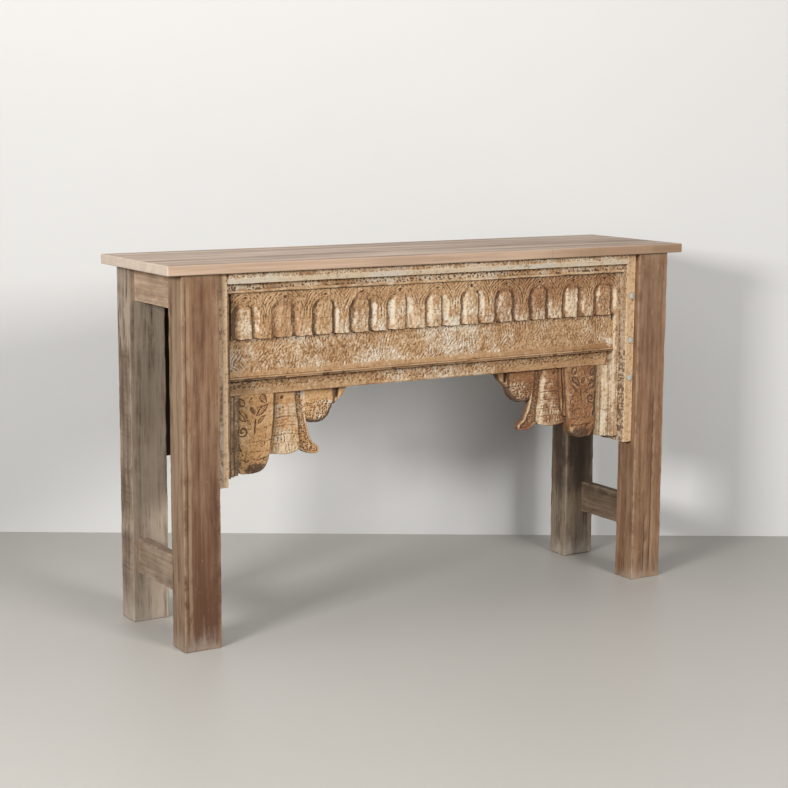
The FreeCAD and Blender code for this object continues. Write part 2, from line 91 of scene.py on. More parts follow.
def flat_noise(x, z, wide, high, seed):
    """Noise on a front face: blotches wide by high, with a finer layer on top."""
    coarse = noise(x, 0.0, z, (wide, 1.0, high), seed)
    return 0.7 * coarse + 0.3 * noise(x, 0.5, z, (wide / 2.3, 1.0, high / 2.3), seed + 7)


def ramp(v, start, end):
    """Rises smoothly from 0 at start to 1 at end."""
    t = np.clip((v - start) / (end - start), 0, 1)
    return t * t * (3 - 2 * t)


def pits(x, z, pitch, radius, seed, share=1.0):
    """Round dents, 1 at their deepest, one near each point of a loose grid."""
    ci, cj = np.floor(x / pitch).astype(np.int64), np.floor(z / pitch).astype(np.int64)
    deepest = np.zeros(np.shape(x))
    for i in (ci - 1, ci, ci + 1):
        for j in (cj - 1, cj, cj + 1):
            px = (i + 0.15 + 0.7 * chance(i, j, 0, seed)) * pitch
            pz = (j + 0.15 + 0.7 * chance(i, j, 1, seed)) * pitch
            wide = radius * (0.55 + 0.7 * chance(i, j, 2, seed)) * (chance(i, j, 3, seed) < share)
            r = np.hypot(x - px, z - pz) / np.maximum(wide, 1e-6)
            deepest = np.maximum(deepest, np.clip(1 - r * r, 0, 1))
    return deepest


def blur(v, cells):
    """Evens a grid of values over a square of cells, twice."""
    for axis in (0, 1, 0, 1):
        wide = [(cells, cells) if a == axis else (0, 0) for a in (0, 1)]
        run = np.cumsum(np.pad(v, wide, mode="edge"), axis=axis)
        run = np.moveaxis(run, axis, 0)
        first = np.concatenate([np.zeros_like(run[:1]), run[: -2 * cells - 1]])
        v = np.moveaxis((run[2 * cells :] - first) / (2 * cells + 1), 0, axis)
    return v


print("noise sample", noise(np.arange(3.0), 0.0, 0.0, (2, 1, 1), 1).round(3))

# %% [markdown]
# Carving is a relief: seen from the front, each place has one depth. So a carved board is a fine
# grid of points pushed back by a depth map, which could also be a displace modifier on a plane. Here
# the map is worked out directly, because then the same numbers also say where dirt lies in the
# hollows, where hands have rubbed the high places, and which walls of a cut face the window lamp and
# which turn away from it, to be painted paler and darker: painted light and shade. The edge of the
# board is where a signed distance is zero, and cells that the edge crosses are cut along it, so a
# worn outline stays smooth.

# %% Grid of a front face and its cut edge
def grid(low, high, step):
    """Grid points over a front face, one step past it all round."""
    axes = []
    for a in (0, 2):
        count = int(round((high[a] - low[a]) / step))
        axes.append(low[a] + np.arange(-1, count + 2) * (high[a] - low[a]) / count)
    return np.meshgrid(*axes, indexing="ij")


def cut_cells(X, Z, inside, layers):
    """Front faces of a relief: whole cells, then cells cut by the edge, and the edge as pairs of points."""
    keep = inside > 0
    total = int(keep.sum())
    number = np.full(X.shape, -1)
    number[keep] = np.arange(total)
    count = keep[:-1, :-1] * 1 + keep[1:, :-1] + keep[1:, 1:] + keep[:-1, 1:]
    i, j = np.nonzero(count == 4)
    whole = np.stack([number[i, j], number[i + 1, j], number[i + 1, j + 1], number[i, j + 1]], 1)
    faces, columns, made, edge, fresh = whole.tolist(), i.tolist(), {}, {}, []

    def crossing(a, b):
        key = (min(a, b), max(a, b))
        if key not in made:
            t = inside[a] / (inside[a] - inside[b])
            fresh.append([layer[a] + t * (layer[b] - layer[a]) for layer in layers])
            made[key] = total + len(fresh) - 1
        return made[key]

    for i, j in np.argwhere((count > 0) & (count < 4)).tolist():
        ring = [(i, j), (i + 1, j), (i + 1, j + 1), (i, j + 1)]
        face = []
        for a, b in zip(ring, ring[1:] + ring[:1]):
            if keep[a]:
                face.append(int(number[a]))
            if keep[a] != keep[b]:
                face.append(crossing(a, b))
        for p, after in zip(face, face[1:] + face[:1]):
            if p >= total and after >= total:
                edge[p] = after
        faces.append(face)
        columns.append(i)
    points = np.concatenate([np.stack([layer[keep] for layer in layers], 1), np.array(fresh)])
    return points, faces, columns, edge


def loops_of(edge):
    """Closed rings from a map of each edge point to the next one."""
    rings, left = [], dict(edge)
    while left:
        start = next(iter(left))
        ring, here = [start], left.pop(start)
        while here != start and here in left:
            ring.append(here)
            here = left.pop(here)
        rings.append(ring)
    return rings


print("points over a 10 by 5 mm face:", grid(np.zeros(3), np.array([10.0, 0.0, 5.0]), 1.0)[0].size)

# %% A mesh with values at its points
def new_piece(name, points, faces, fields, sharp=None):
    """A mesh object in metres with a value of each field at each point."""
    mesh = bpy.data.meshes.new(name)
    mesh.from_pydata((points / 1000).tolist(), [], faces)
    for key, values in fields.items():
        mesh.attributes.new(key, "FLOAT", "POINT").data.foreach_set("value", np.asarray(values, np.float32))
    mesh.shade_smooth()
    if sharp is not None:
        ends = np.zeros(len(mesh.edges) * 2, np.int32)
        mesh.edges.foreach_get("vertices", ends)
        hard = sharp[ends.reshape(-1, 2)].all(1)
        mesh.attributes.new("sharp_edge", "BOOLEAN", "EDGE").data.foreach_set("value", hard)
    piece = bpy.data.objects.new(name, mesh)
    bpy.context.scene.collection.objects.link(piece)
    print(name, "points", len(points), "faces", len(faces))
    return piece


# %% A relief with sides and a back
def relief(name, X, Z, inside, depth, front, back, fields, rows):
    """A closed carved piece: depth is how far each place lies behind the front plane."""
    keys = list(fields)
    values, faces, columns, edge = cut_cells(X, Z, inside, [X, front + depth, Z] + [fields[k] for k in keys])
    rings, total = loops_of(edge), len(values)
    rim = np.array([p for ring in rings for p in ring])
    behind = values[rim].copy()
    behind[:, 1] = back
    behind[:, 3:] = [0.3 if key == "hollow" else 0.0 for key in keys]
    twin = np.zeros(total, int)
    twin[rim] = total + np.arange(len(rim))

    def flat(p):
        return (p[:, 0] - X.min()) / np.ptp(X), (p[:, 2] - Z.min()) / np.ptp(Z)
    row = np.repeat(np.array(columns) * rows // (X.shape[0] - 1), [len(f) for f in faces])
    along, up = flat(values[[p for face in faces for p in face]])
    maps = [np.stack([0.01 + 0.98 * (along * rows - row), (row + 0.02 + 0.96 * up) / rows * 0.88], 1)]
    for ring in rings:
        a, b = np.array(ring), np.roll(ring, -1)
        faces += np.stack([b, a, twin[a], twin[b]], 1).tolist() + [twin[a[::-1]].tolist()]
        here = np.arange(len(a)) / len(a)
        after, zero = here + 1 / len(a), 0 * here
        strip = [after, zero + 0.9, here, zero + 0.9, here, zero + 0.95, after, zero + 0.95]
        along, up = flat(values[a[::-1]])
        maps += [np.stack(strip, 1).reshape(-1, 2), np.stack([along, 0.96 + 0.035 * up], 1)]
    points = np.concatenate([values, behind])
    hard = np.arange(len(points)) >= int((inside > 0).sum())
    piece = new_piece(name, points[:, :3], faces, {k: points[:, 3 + n] for n, k in enumerate(keys)}, hard)
    layer = piece.data.uv_layers.new(name="OFBake")
    layer.data.foreach_set("uv", np.concatenate(maps).astype(np.float32).ravel())
    return piece


# %% A carved board
def carved(node, X, Z, inside, depth, lime, tint, dirt_and_shade=0.0, rows=4, lit_wall_pale=0.3):
    """A relief that knows its hollows, high places and lit and shaded walls, and stands for its solid."""
    low, high = span(node)
    step = X[1, 0] - X[0, 0]
    near, far = blur(depth, max(1, int(round(1.6 / step)))), blur(depth, max(2, int(round(5.0 / step))))
    # Painted light and shade: walls of a cut that turn to the right, away from the window lamp, get painted
    # shade in hollow, and walls that face the lamp get paler lime, a painted highlight.
    slope = np.gradient(near, step, axis=0)
    hollow = np.clip((depth - near) / 0.9, 0, 1) * 0.6 + np.clip((depth - far) / 2.8, 0, 1) * 0.6
    hollow = hollow + 0.5 * np.clip(slope / 1.3, 0, 1) + dirt_and_shade
    lime = lime + lit_wall_pale * np.clip(-slope / 1.3, 0, 1)
    proud = np.clip((far - depth) / 1.6, 0, 1)
    fields = {"hollow": np.clip(hollow, 0, 1), "proud": proud, "lime": lime + 0 * X, "tint": tint + 0 * X}
    piece = relief(node + "_carved", X, Z, inside, depth, low[1], high[1], fields, rows)
    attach(piece, "root")
    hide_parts(node)
    return piece


def board_edge(X, Z, low, high, wear, seed):
    """Signed distance inside a board whose long edges are worn by up to wear."""
    up = Z - low[2] - wear * (0.5 + 0.5 * flat_noise(X, Z * 0, 26.0, 1.0, seed))
    down = high[2] - Z - wear * (0.5 + 0.5 * flat_noise(X, Z * 0, 31.0, 1.0, seed + 3))
    return np.minimum(np.minimum(X - low[0], high[0] - X), np.minimum(up, down))

# %% [markdown]
# The legs, rails, stiles and planks are sawn timber: a block whose arrises have been rubbed round
# and whose faces are a little hollow and uneven. A cube with a bevel and a displace modifier would
# do. Here the block is a lattice of points with extra lines near its edges, which lets the rounding
# change along the length as it does on a leg that has been knocked for a hundred years.

# %% A block of timber
def lines(low, high, step, near):
    """Places of the lattice lines along one side, closer together near both ends."""
    count = max(2, int(round((high - low - 2 * near) / step)))
    ease = near * np.array([0.0, 0.12, 0.3, 0.55, 0.8])
    return np.concatenate([low + ease, np.linspace(low + near, high - near, count), high - ease[::-1]])


def timber(name, node, steps, radius, dent, low=None, high=None):
    """A block with rounded arrises. radius and dent give mm at each point; dent goes inwards."""
    box = span(node)
    low, high = (box[0] if low is None else low), (box[1] if high is None else high)
    most = 9.0 if min(high - low) > 30 else 4.5
    axes = [lines(low[a], high[a], steps[a], most) for a in range(3)]
    shape = [len(a) for a in axes]
    skin = np.ones(shape, bool)
    skin[1:-1, 1:-1, 1:-1] = False
    number = np.full(shape, -1)
    number[skin] = np.arange(skin.sum())
    at = np.stack([m[skin] for m in np.meshgrid(*axes, indexing="ij")], 1)
    faces = []
    for axis in range(3):
        sheet = np.moveaxis(number, [axis, (axis + 1) % 3, (axis + 2) % 3], [0, 1, 2])
        for side, turn in ((sheet[0], -1), (sheet[-1], 1)):
            quads = np.stack([side[:-1, :-1], side[1:, :-1], side[1:, 1:], side[:-1, 1:]], -1).reshape(-1, 4)
            faces += quads[:, ::turn].tolist()
    away = np.sort(np.minimum(at - low, high - at), 1)
    round_by = np.clip(radius(at), 0.4, most)[:, None]
    inner = np.clip(at, low + round_by, high - round_by)
    way = at - inner
    way /= np.linalg.norm(way, axis=1)[:, None]
    points = inner + way * round_by
    points -= way * np.clip(dent(points, way), 0, None)[:, None]
    from_arris, hollow = away[:, 1], np.clip(dent(points, way) / 2.5, 0, 1)
    fields = {"proud": np.exp(-from_arris / 4.0), "rim": np.exp(-from_arris / 14.0), "hollow": hollow}
    piece = new_piece(name, points, faces, fields)
    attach(piece, "root")
    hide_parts(node)
    return piece


print("lattice lines along 100 mm:", len(lines(0.0, 100.0, 10.0, 5.0)))

# %% [markdown]
# A material is a graph of nodes, and its sums are easier to read as sums. A Shade holds
# one output of a node; adding, multiplying and the rest put the Math nodes in. A Finish holds one
# material and has one method for every other kind of node: the type, its settings, its sockets.

# %% Shader sums
class Shade:
    """One output socket of a material, with the signs of arithmetic."""

    def __init__(self, finish, socket):
        self.finish, self.socket = finish, socket

    def sum(self, operation, a, b):
        return self.finish.node("Math", {"operation": operation}, {0: a, 1: b})

    def __add__(self, other):
        return self.sum("ADD", self, other)

    def __sub__(self, other):
        return self.sum("SUBTRACT", self, other)

    def __rsub__(self, other):
        return self.sum("SUBTRACT", other, self)

    def __mul__(self, other):
        return self.sum("MULTIPLY", self, other)

    def __abs__(self):
        return self.sum("ABSOLUTE", self, 0.0)

    __radd__, __rmul__ = __add__, __mul__


class Finish:
    """A material with one Principled shader."""

    def __init__(self, name):
        self.material = bpy.data.materials.new(name)
        self.material.use_nodes = True
        self.tree = self.material.node_tree
        self.shader = self.tree.nodes["Principled BSDF"]
        self.place = self.node("TexCoord", out="Object")

    def node(self, kind, settings={}, sockets={}, out=0):
        """Adds a node: settings first, then a value or a Shade on each socket."""
        made = self.tree.nodes.new("ShaderNode" + kind)
        for key, value in settings.items():
            setattr(made, key, value)
        for key, value in sockets.items():
            self.feed(made.inputs[key], value)
        return Shade(self, made.outputs[out])

    def feed(self, socket, value):
        if isinstance(value, Shade):
            self.tree.links.new(value.socket, socket)
        else:
            socket.default_value = (*value, 1.0) if socket.type == "RGBA" else value

    def mix(self, a, b, share):
        """Two colours mixed by a share."""
        return self.node("Mix", {"data_type": "RGBA"}, {0: share, 6: a, 7: b}, out=2)

    def noise(self, scale, detail=4.0, rough=0.55, shift=0.0, warp=0.0):
        """Noise from 0 to 1. scale has blotches per metre along x, y and z."""
        moved = {"Vector": self.place, "Location": (shift, shift * 0.7, shift * 0.3), "Scale": scale}
        where = self.node("Mapping", {}, moved)
        sockets = {"Vector": where, "Scale": 1.0, "Detail": detail, "Roughness": rough, "Distortion": warp}
        return self.node("TexNoise", {}, sockets)

    def band(self, value, start, end):
        """Rises smoothly from 0 at start to 1 at end; falls if end is lower."""
        low, high = (start, end) if start < end else (end, start)
        sockets = {0: value, 1: low, 2: high, 3: 0.0 if start < end else 1.0, 4: 1.0 if start < end else 0.0}
        return self.node("MapRange", {"interpolation_type": "SMOOTHSTEP"}, sockets)

    def field(self, name):
        """A value that the mesh carries at its points."""
        return self.node("Attribute", {"attribute_name": name}, out="Fac")

    def axis(self, n):
        return self.node("SeparateXYZ", {}, {0: self.place}, out=n)

    def finish(self, colour, roughness, height, bump, distance=0.001):
        """Joins colour, roughness and a height for the bump to the shader."""
        self.feed(self.shader.inputs["Base Color"], colour)
        self.feed(self.shader.inputs["Roughness"], roughness)
        raised = {"Height": height, "Strength": bump, "Distance": distance}
        self.feed(self.shader.inputs["Normal"], self.node("Bump", {}, raised))
        return self.material


def wear(piece, material):
    """Puts a material on a piece or on a solid that is shown as it is."""
    if not piece.material_slots:
        piece.data.materials.append(material)
    for slot in piece.material_slots:
        slot.material = material


print("shader sums ready:", Shade.__doc__)

# %% [markdown]
# The legs are old beams, sawn again and never planed flat: brown with long streaks of darker and
# paler grain, dusty grey in patches, rubbed pale on the arrises and at the feet. One noise stretched
# along the grain already reads as wood, but on old timber streaks, fibres and blotches don't change
# together, so each has a noise of its own width. Darker stretches, scrapes, a paler face and drying
# cracks are laid over that only where a leg has them; the paler face is painted light, and the
# darker stretch on the rear right leg painted shade. The same recipe serves the rails, with the
# grain turned to run from front to back.

# %% Marks of age on timber
CRACK, SPECK, SCUFF = (0.04, 0.022, 0.013), (0.045, 0.026, 0.015), (0.62, 0.53, 0.43)


def stretch_of(f, z, ends, soft, ragged):
    """1 between two heights in metres; each end has its own softness and its own ragged noise."""
    low, high = ends
    above = f.band(z + ragged[0], low, low + soft[0])
    return above * f.band(z + ragged[1], high, high - soft[1])


def crack(f, colour, pale, z, blotch, shift, place):
    """A drying crack that wanders up a leg, with a pale lip beside it."""
    across, middle, low, high = place
    off = f.axis(across) - middle + (f.noise((9.0, 9.0, 9.0), 3.0, 0.6, shift + middle) - 0.5) * 0.008
    length = stretch_of(f, z, (low, high), (0.05, 0.06), (0.0, 0.0))
    lip = f.band(abs(off - 0.006), 0.006, 0.002) * length * f.band(blotch, 0.36, 0.56)
    colour = f.mix(colour, pale, lip * 0.5)
    return f.mix(colour, CRACK, f.band(abs(off), 0.0024, 0.0006) * length * 0.8)


print("marks of age: smoke, scrapes, scuffed foot, cracks")

# %% Weathered timber
def weathered(name, grain, shift, palette, dusty=0.3, saw=0.0, gloom=0.0, painted_light_face=0.0, toward=0,
              darker_stretches=(), scrapes=(), foot=0.0, cracks=()):
    """Sawn timber. grain is the axis of its fibres; the later values say which marks of age, painted light
    and painted shade it has.
    """
    dark, middle, pale, grey = palette
    f = Finish(name)

    def along(across, lengthwise):
        return tuple(lengthwise if a == grain else across for a in range(3))

    broad = f.noise(along(42.0, 1.6), 3.0, 0.6, shift + 1, 0.4)
    streak = f.noise(along(110.0, 5.0), 5.0, 0.7, shift, 0.6)
    fibre = f.noise(along(260.0, 11.0), 4.0, 0.7, shift + 3)
    blotch = f.noise(along(45.0, 17.0), 4.0, 0.65, shift + 7)
    nick = f.noise(along(150.0, 45.0), 2.0, 0.5, shift + 15)
    patch = f.noise((7.0, 7.0, 4.0), 4.0, 0.6, shift + 5)
    speck = f.noise((500.0, 500.0, 500.0), 2.0, 0.5, shift + 9)
    rim, z = f.field("rim"), f.axis(2)
    tone = broad * 0.36 + streak * 0.28 + fibre * 0.14 + blotch * 0.22
    colour = f.mix(dark, middle, f.band(tone, 0.35, 0.52))
    colour = f.mix(colour, pale, f.band(tone, 0.48, 0.66) * 0.8)
    colour = f.mix(colour, grey, f.band(patch + (streak - 0.5) * 0.5, 0.46, 0.72) * dusty)
    if saw:
        marks = f.noise(along(9.0, 120.0), 3.0, 0.55, shift + 12)
        colour = f.mix(colour, dark, f.band(marks, 0.48, 0.62) * f.band(blotch, 0.38, 0.56) * saw)
    if gloom:
        downward = f.band(z + (broad - 0.5) * 0.5 + (streak - 0.5) * 0.5, 0.68, 0.0)
        colour = f.mix(colour, dark, downward * gloom)
    # Painted light: faces that point one way, the lit left side of the front left leg and the shaded front of
    # the rear left leg, are painted a paler grey.
    face_direction = f.node("SeparateXYZ", {}, {0: f.node("NewGeometry", out="True Normal")}, out=toward)
    colour = f.mix(colour, grey, f.band(face_direction, -0.5, -0.9) * f.band(tone, 0.36, 0.56) * painted_light_face)
    # Darker between two heights; on the rear right leg this is painted shade.
    for low, high, share in darker_stretches:
        cloud = stretch_of(f, z, (low, high), (0.12, 0.1), ((patch - 0.5) * 0.3, (blotch - 0.5) * 0.2))
        colour = f.mix(colour, dark, cloud * (1.0 - rim * 0.8) * share)
    for low, high, share in scrapes:
        bare = stretch_of(f, z, (low, high), (0.03, 0.05), ((patch - 0.5) * 0.1, (blotch - 0.5) * 0.16))
        colour = f.mix(colour, grey, bare * f.band(streak * 0.6 + blotch * 0.4, 0.42, 0.54) * share)
    if foot:
        colour = f.mix(colour, dark, f.band(z, 0.09, 0.03) * f.band(streak, 0.5, 0.4) * 0.7)
        sole = f.band(z + (blotch - 0.5) * 0.14 + (streak - 0.5) * 0.1, 0.06, -0.015)
        colour = f.mix(colour, SCUFF, sole * f.band(patch, 0.38, 0.56) * foot)
    for place in cracks:
        colour = crack(f, colour, pale, z, blotch, shift, place)
    rubbed = f.field("proud") * f.band(f.noise((35.0, 35.0, 35.0), 3.0, 0.6, shift + 2), 0.33, 0.6)
    colour = f.mix(colour, pale, rubbed * 0.8)
    colour = f.mix(colour, grey, rim * f.band(blotch + (patch - 0.5) * 0.5, 0.46, 0.62) * dusty)
    colour = f.mix(colour, pale, f.band(nick, 0.66, 0.74) * 0.5)
    colour = f.mix(colour, SPECK, f.band(speck, 0.66, 0.74) * 0.5)
    return f.finish(colour, 0.6 + fibre * 0.3, fibre * 0.6 + streak * 0.5 + blotch * 0.3, 0.6, 0.0014)


# Each palette has a dark, a middle, a pale and a dusty tone.
BROWN = ((0.105, 0.04, 0.0145), (0.25, 0.13, 0.066), (0.43, 0.275, 0.16), (0.38, 0.265, 0.17))
GREYED = ((0.095, 0.06, 0.038), (0.26, 0.172, 0.112), (0.45, 0.33, 0.228), (0.56, 0.44, 0.33))
# The third palette is a darker copy for the rear right leg and the right-hand rails, which stand in the
# table's shade: painted shade.
SHADE_DARKENED = ((0.042, 0.026, 0.016), (0.15, 0.096, 0.059), (0.36, 0.25, 0.16), (0.34, 0.262, 0.185))


def lift(palette, by):
    """The same tones, lighter or darker."""
    return [tuple(by * c for c in tone) for tone in palette]


print("tones in a palette:", len(BROWN))

# %% [markdown]
# The four legs are the same timber and have aged differently: the front pair is brown, the left one
# darker towards the floor, the rear left one is dusty and scraped, and the rear right one stands deep
# in the table's shade and is painted nearly black: painted shade. So the block and its wear are one
# loop, and a list says what happened to each leg.

# %% Legs
# Darker stretches and scrapes: from and to which height in metres, and how strong.
# Cracks: the axis across the face, the place on it, and from and to which height.
LEGS = {
    "leg_front_left": dict(
        palette=BROWN, shift=0.0, gloom=1.0, painted_light_face=0.75, foot=0.4,
        cracks=[(0, -0.655, 0.0, 0.84)],
    ),
    "leg_front_right": dict(
        palette=lift(BROWN, 1.1), shift=11.0, darker_stretches=[(0.5, 1.2, 0.25)], foot=0.5,
        cracks=[(0, 0.63, 0.0, 0.5), (0, 0.612, 0.0, 0.2)],
    ),
    "leg_rear_left": dict(
        palette=lift(GREYED, 0.84), shift=23.0, dusty=0.65, saw=0.5, painted_light_face=0.9, toward=1, foot=0.9,
        darker_stretches=[(0.38, 0.72, 0.15)], scrapes=[(0.62, 0.85, 1.0), (0.19, 0.28, 0.9), (-0.1, 0.1, 0.7)],
    ),
    # Painted shade: a darker palette and a darker stretch up most of the leg, which stands in the table's
    # shade.
    "leg_rear_right": dict(
        palette=SHADE_DARKENED, shift=37.0, dusty=0.5, saw=0.3, foot=0.8,
        darker_stretches=[(0.16, 0.95, 0.85)], scrapes=[(-0.1, 0.2, 0.7)],
    ),
}
for n, (node, look) in enumerate(LEGS.items()):
    def worn_arris(p, s=n):
        knocks = 1.4 * noise(*p.T, (9.0, 9.0, 11.0), 60 + s)
        return 2.6 + 2.2 * noise(*p.T, (40.0, 40.0, 30.0), 50 + s) + knocks

    def sawn(p, way, s=n):
        ridges = 0.3 * noise(*p.T, (5.0, 5.0, 60.0), 80 + s)
        return 0.5 + 0.5 * noise(*p.T, (24.0, 24.0, 150.0), 70 + s) + ridges

    leg = timber(node + "_timber", node, (3.0, 3.0, 6.0), worn_arris, sawn)
    wear(leg, weathered(node, 2, **look))

# %% [markdown]
# The rails and stretchers are one board section, tenoned into the legs. Only their shoulders show,
# so the dressed board runs from leg to leg and the tenon stays with the hidden solid.

# %% Rails and stretchers
inner_gap = [span("leg_front_left")[1][1], span("leg_rear_left")[0][1]]
RAIL_TONES = ((GREYED, 1.7), (SHADE_DARKENED, 1.3), (GREYED, 1.02), (SHADE_DARKENED, 1.1))
for n, node in enumerate(("side_rail_left", "side_rail_right", "stretcher_left", "stretcher_right")):
    low, high = span(node)
    low[1], high[1] = inner_gap
    radius = lambda p, s=n: 1.6 + 1.2 * noise(*p.T, (12.0, 20.0, 12.0), 150 + s)
    sawn = lambda p, way, s=n: 0.3 + 0.4 * noise(*p.T, (14.0, 90.0, 14.0), 160 + s)
    rail = timber(node + "_board", node, (4.0, 6.0, 4.0), radius, sawn, low, high)
    wear(rail, weathered(node, 1, 51.0 + 7 * n, lift(*RAIL_TONES[n])))

# %% [markdown]
# The top is newer wood than the rest: smooth planks glued edge to edge, oiled, pinkish brown, with
# straight grain along the length and small dark pores. Its front edge catches the light and looks
# peach. One texture over the whole top would hide that it is made of planks, so each plank has its
# own shift of the grain, and a thin dark line marks each glued seam.

# %% Oiled plank
GRAIN, BLOND, FADED = (0.22, 0.13, 0.082), (0.74, 0.58, 0.45), (0.38, 0.285, 0.22)
PORE, SEAM, STAIN = (0.24, 0.145, 0.09), (0.17, 0.1, 0.06), (0.2, 0.12, 0.07)
PEACH, AMBER, ROSE = (0.61, 0.42, 0.29), (0.35, 0.197, 0.106), (0.44, 0.275, 0.175)
END_GRAIN, RUBBED_EDGE = (0.8, 0.66, 0.53), (0.66, 0.5, 0.37)
SEAMS = [span("top_plank_%d" % n)[1][1] / 1000 for n in (1, 2, 3)]
FRONT_EDGE = span("top_plank_1")[0][1] / 1000
TOP_END = span("top_plank_1")[1][0] / 1000
JOINTS_IN_EDGE = (0.299, 0.384, 0.441)


def plank_finish(name, shift, warm):
    f = Finish(name)
    figure = f.noise((1.3, 34.0, 34.0), 5.0, 0.62, shift, 0.9)
    fibre = f.noise((7.0, 420.0, 420.0), 3.0, 0.6, shift + 4)
    patch = f.noise((3.0, 9.0, 9.0), 3.0, 0.5, shift + 8)
    pores = f.noise((22.0, 650.0, 650.0), 2.0, 0.5, shift + 11)
    x, y = f.axis(0), f.axis(1)
    tone = figure * 0.68 + fibre * 0.32
    colour = f.mix(GRAIN, warm, f.band(tone, 0.41, 0.5))
    colour = f.mix(colour, BLOND, f.band(tone, 0.5, 0.59) * 0.85)
    colour = f.mix(colour, FADED, f.band(patch, 0.48, 0.68) * 0.5)
    colour = f.mix(colour, PORE, f.band(pores, 0.56, 0.7) * 0.45)
    seams = sum(f.band(abs(y - place), 0.0014, 0.0005) for place in SEAMS)
    colour = f.mix(colour, SEAM, seams * 0.7)
    nosing = f.band(y, FRONT_EDGE + 0.003, FRONT_EDGE + 0.0007)
    edge = f.mix(PEACH, AMBER, f.band(x + (patch - 0.5) * 0.25, 0.2, 0.42))
    edge = f.mix(edge, ROSE, f.band(tone, 0.52, 0.4) * 0.6)
    colour = f.mix(colour, edge, nosing * 0.85)
    joints = sum(f.band(abs(x - place), 0.0012, 0.0004) for place in JOINTS_IN_EDGE)
    stained = f.band(x + (patch - 0.5) * 0.03, 0.6, 0.61) * 0.55
    colour = f.mix(colour, STAIN, nosing * (joints * 0.4 + stained * 0.6))
    colour = f.mix(colour, END_GRAIN, f.band(abs(x), TOP_END - 0.0025, TOP_END - 0.0008) * 0.8)
    colour = f.mix(colour, RUBBED_EDGE, f.field("proud") * 0.3)
    return f.finish(colour, 0.4 + fibre * 0.2, figure * 0.4 + fibre * 0.6, 0.2, 0.0006)


print("seams at y", [round(place, 4) for place in SEAMS])

# %% Planks of the top
WARM = ((0.5, 0.345, 0.24), (0.46, 0.325, 0.235), (0.49, 0.34, 0.245), (0.45, 0.32, 0.23))
for n, warm in enumerate(WARM):
    node = "top_plank_%d" % (n + 1)
    low, high = span(node)

    def eased(p, outer=low[1] if n == 0 else high[1], inner=n in (1, 2), end=high[0] - 5):
        long_edge = 0.5 + 2.0 * (np.abs(p[:, 1] - outer) < 5) * (not inner)
        radius = np.maximum(long_edge, 2.2 * (np.abs(p[:, 0]) > end))
        return radius + 0.3 * noise(*p.T, (30.0, 30.0, 30.0), 190)

    def planed(p, way, s=n):
        return 0.12 + 0.16 * noise(*p.T, (160.0, 20.0, 20.0), 200 + s)

    plank = timber(node + "_board", node, (14.0, 5.0, 5.0), eased, planed)
    wear(plank, plank_finish(node, 70.0 + 9 * n, warm))

# %% [markdown]
# The carved front was part of a house. Sun and lime have worked on it: honey-coloured wood on the
# high places, brown dirt in the cuts, and cream limewash left wherever a brush once went and a hand
# never rubbed. Painting masks by hand would do for one board. Here the meshes carry where hollows,
# high places, lime and redder wood are, so one finish serves all the carved pieces and only has to
# mix its colours by them, with grain and specks over the top. The dark of the hollows also carries
# painted shade, and the lime painted highlight, where a piece is turned from the lamps or towards them.

# %% The carved finish
HONEY, TAN, RUST = (0.42, 0.22, 0.09), (0.53, 0.335, 0.178), (0.29, 0.125, 0.048)
CREAM, CHALK = (0.78, 0.63, 0.44), (0.76, 0.68, 0.55)
RUBBED, FLECK = (0.68, 0.47, 0.27), (0.82, 0.67, 0.47)
UMBER, DIRT_AND_SHADE = (0.13, 0.068, 0.032), (0.1, 0.055, 0.03)


def carved_finish(name, shift, honey, tan, grain=0):
    f = Finish(name)
    fibre = f.noise(tuple(9.0 if a == grain else 130.0 for a in range(3)), 4.0, 0.6, shift)
    broad = f.noise((6.0, 6.0, 6.0), 3.0, 0.5, shift + 6)
    patch = f.noise((24.0, 24.0, 24.0), 4.0, 0.6, shift + 4)
    mottle = f.noise((120.0, 120.0, 120.0), 4.0, 0.72, shift + 8)
    speck = f.noise((330.0, 330.0, 330.0), 2.0, 0.6, shift + 10)
    hollow, proud, lime, tint = (f.field(k) for k in ("hollow", "proud", "lime", "tint"))
    tone = mottle * 0.55 + patch * 0.2 + fibre * 0.1 + speck * 0.15
    red = f.band(tint + (broad - 0.5) * 0.9 + (mottle - 0.5) * 0.7, 0.2, 0.9)
    wood = f.mix(f.mix(honey, tan, f.band(tone, 0.4, 0.58)), RUST, red * 0.75)
    washed = f.band(lime + (patch - 0.5) * 1.0 + (mottle - 0.5) * 1.3, 0.3, 0.85)
    wash = f.mix(CREAM, CHALK, f.band(broad + (patch - 0.5) * 0.5, 0.48, 0.62))
    colour = f.mix(wood, wash, washed * 0.9)
    colour = f.mix(colour, RUBBED, proud * f.band(patch, 0.4, 0.6) * 0.45)
    colour = f.mix(colour, FLECK, f.band(tone, 0.54, 0.65) * 0.6)
    colour = f.mix(colour, UMBER, f.band(tone, 0.47, 0.37) * 0.8)
    # Dirt in the cuts and the painted shade that the meshes carry in hollow share this dark.
    colour = f.mix(colour, DIRT_AND_SHADE, f.band(hollow + (mottle - 0.5) * 0.8, 0.15, 0.85) * 0.92)
    return f.finish(colour, 0.72 + speck * 0.2, fibre * 0.2 + mottle * 0.6 + speck * 0.3, 0.9, 0.002)


CARVED = carved_finish("carved_boards", 0.0, HONEY, TAN)
print(CARVED.name, "nodes", len(CARVED.node_tree.nodes))

# %% [markdown]
# The cornice sits under the top: its upper face is punched with a row of small pits, its lower face
# is a plain bevel, still cream with lime and painted paler still because it faces down: painted
# light. Below it is a dark hollow strip and a thin fillet that the carver left wavy, with painted
# shade in the crease above the fillet and under it. All three could be swept profiles; as reliefs
# they take the pits, the waves, the soot and the painted shade from the same few lines.

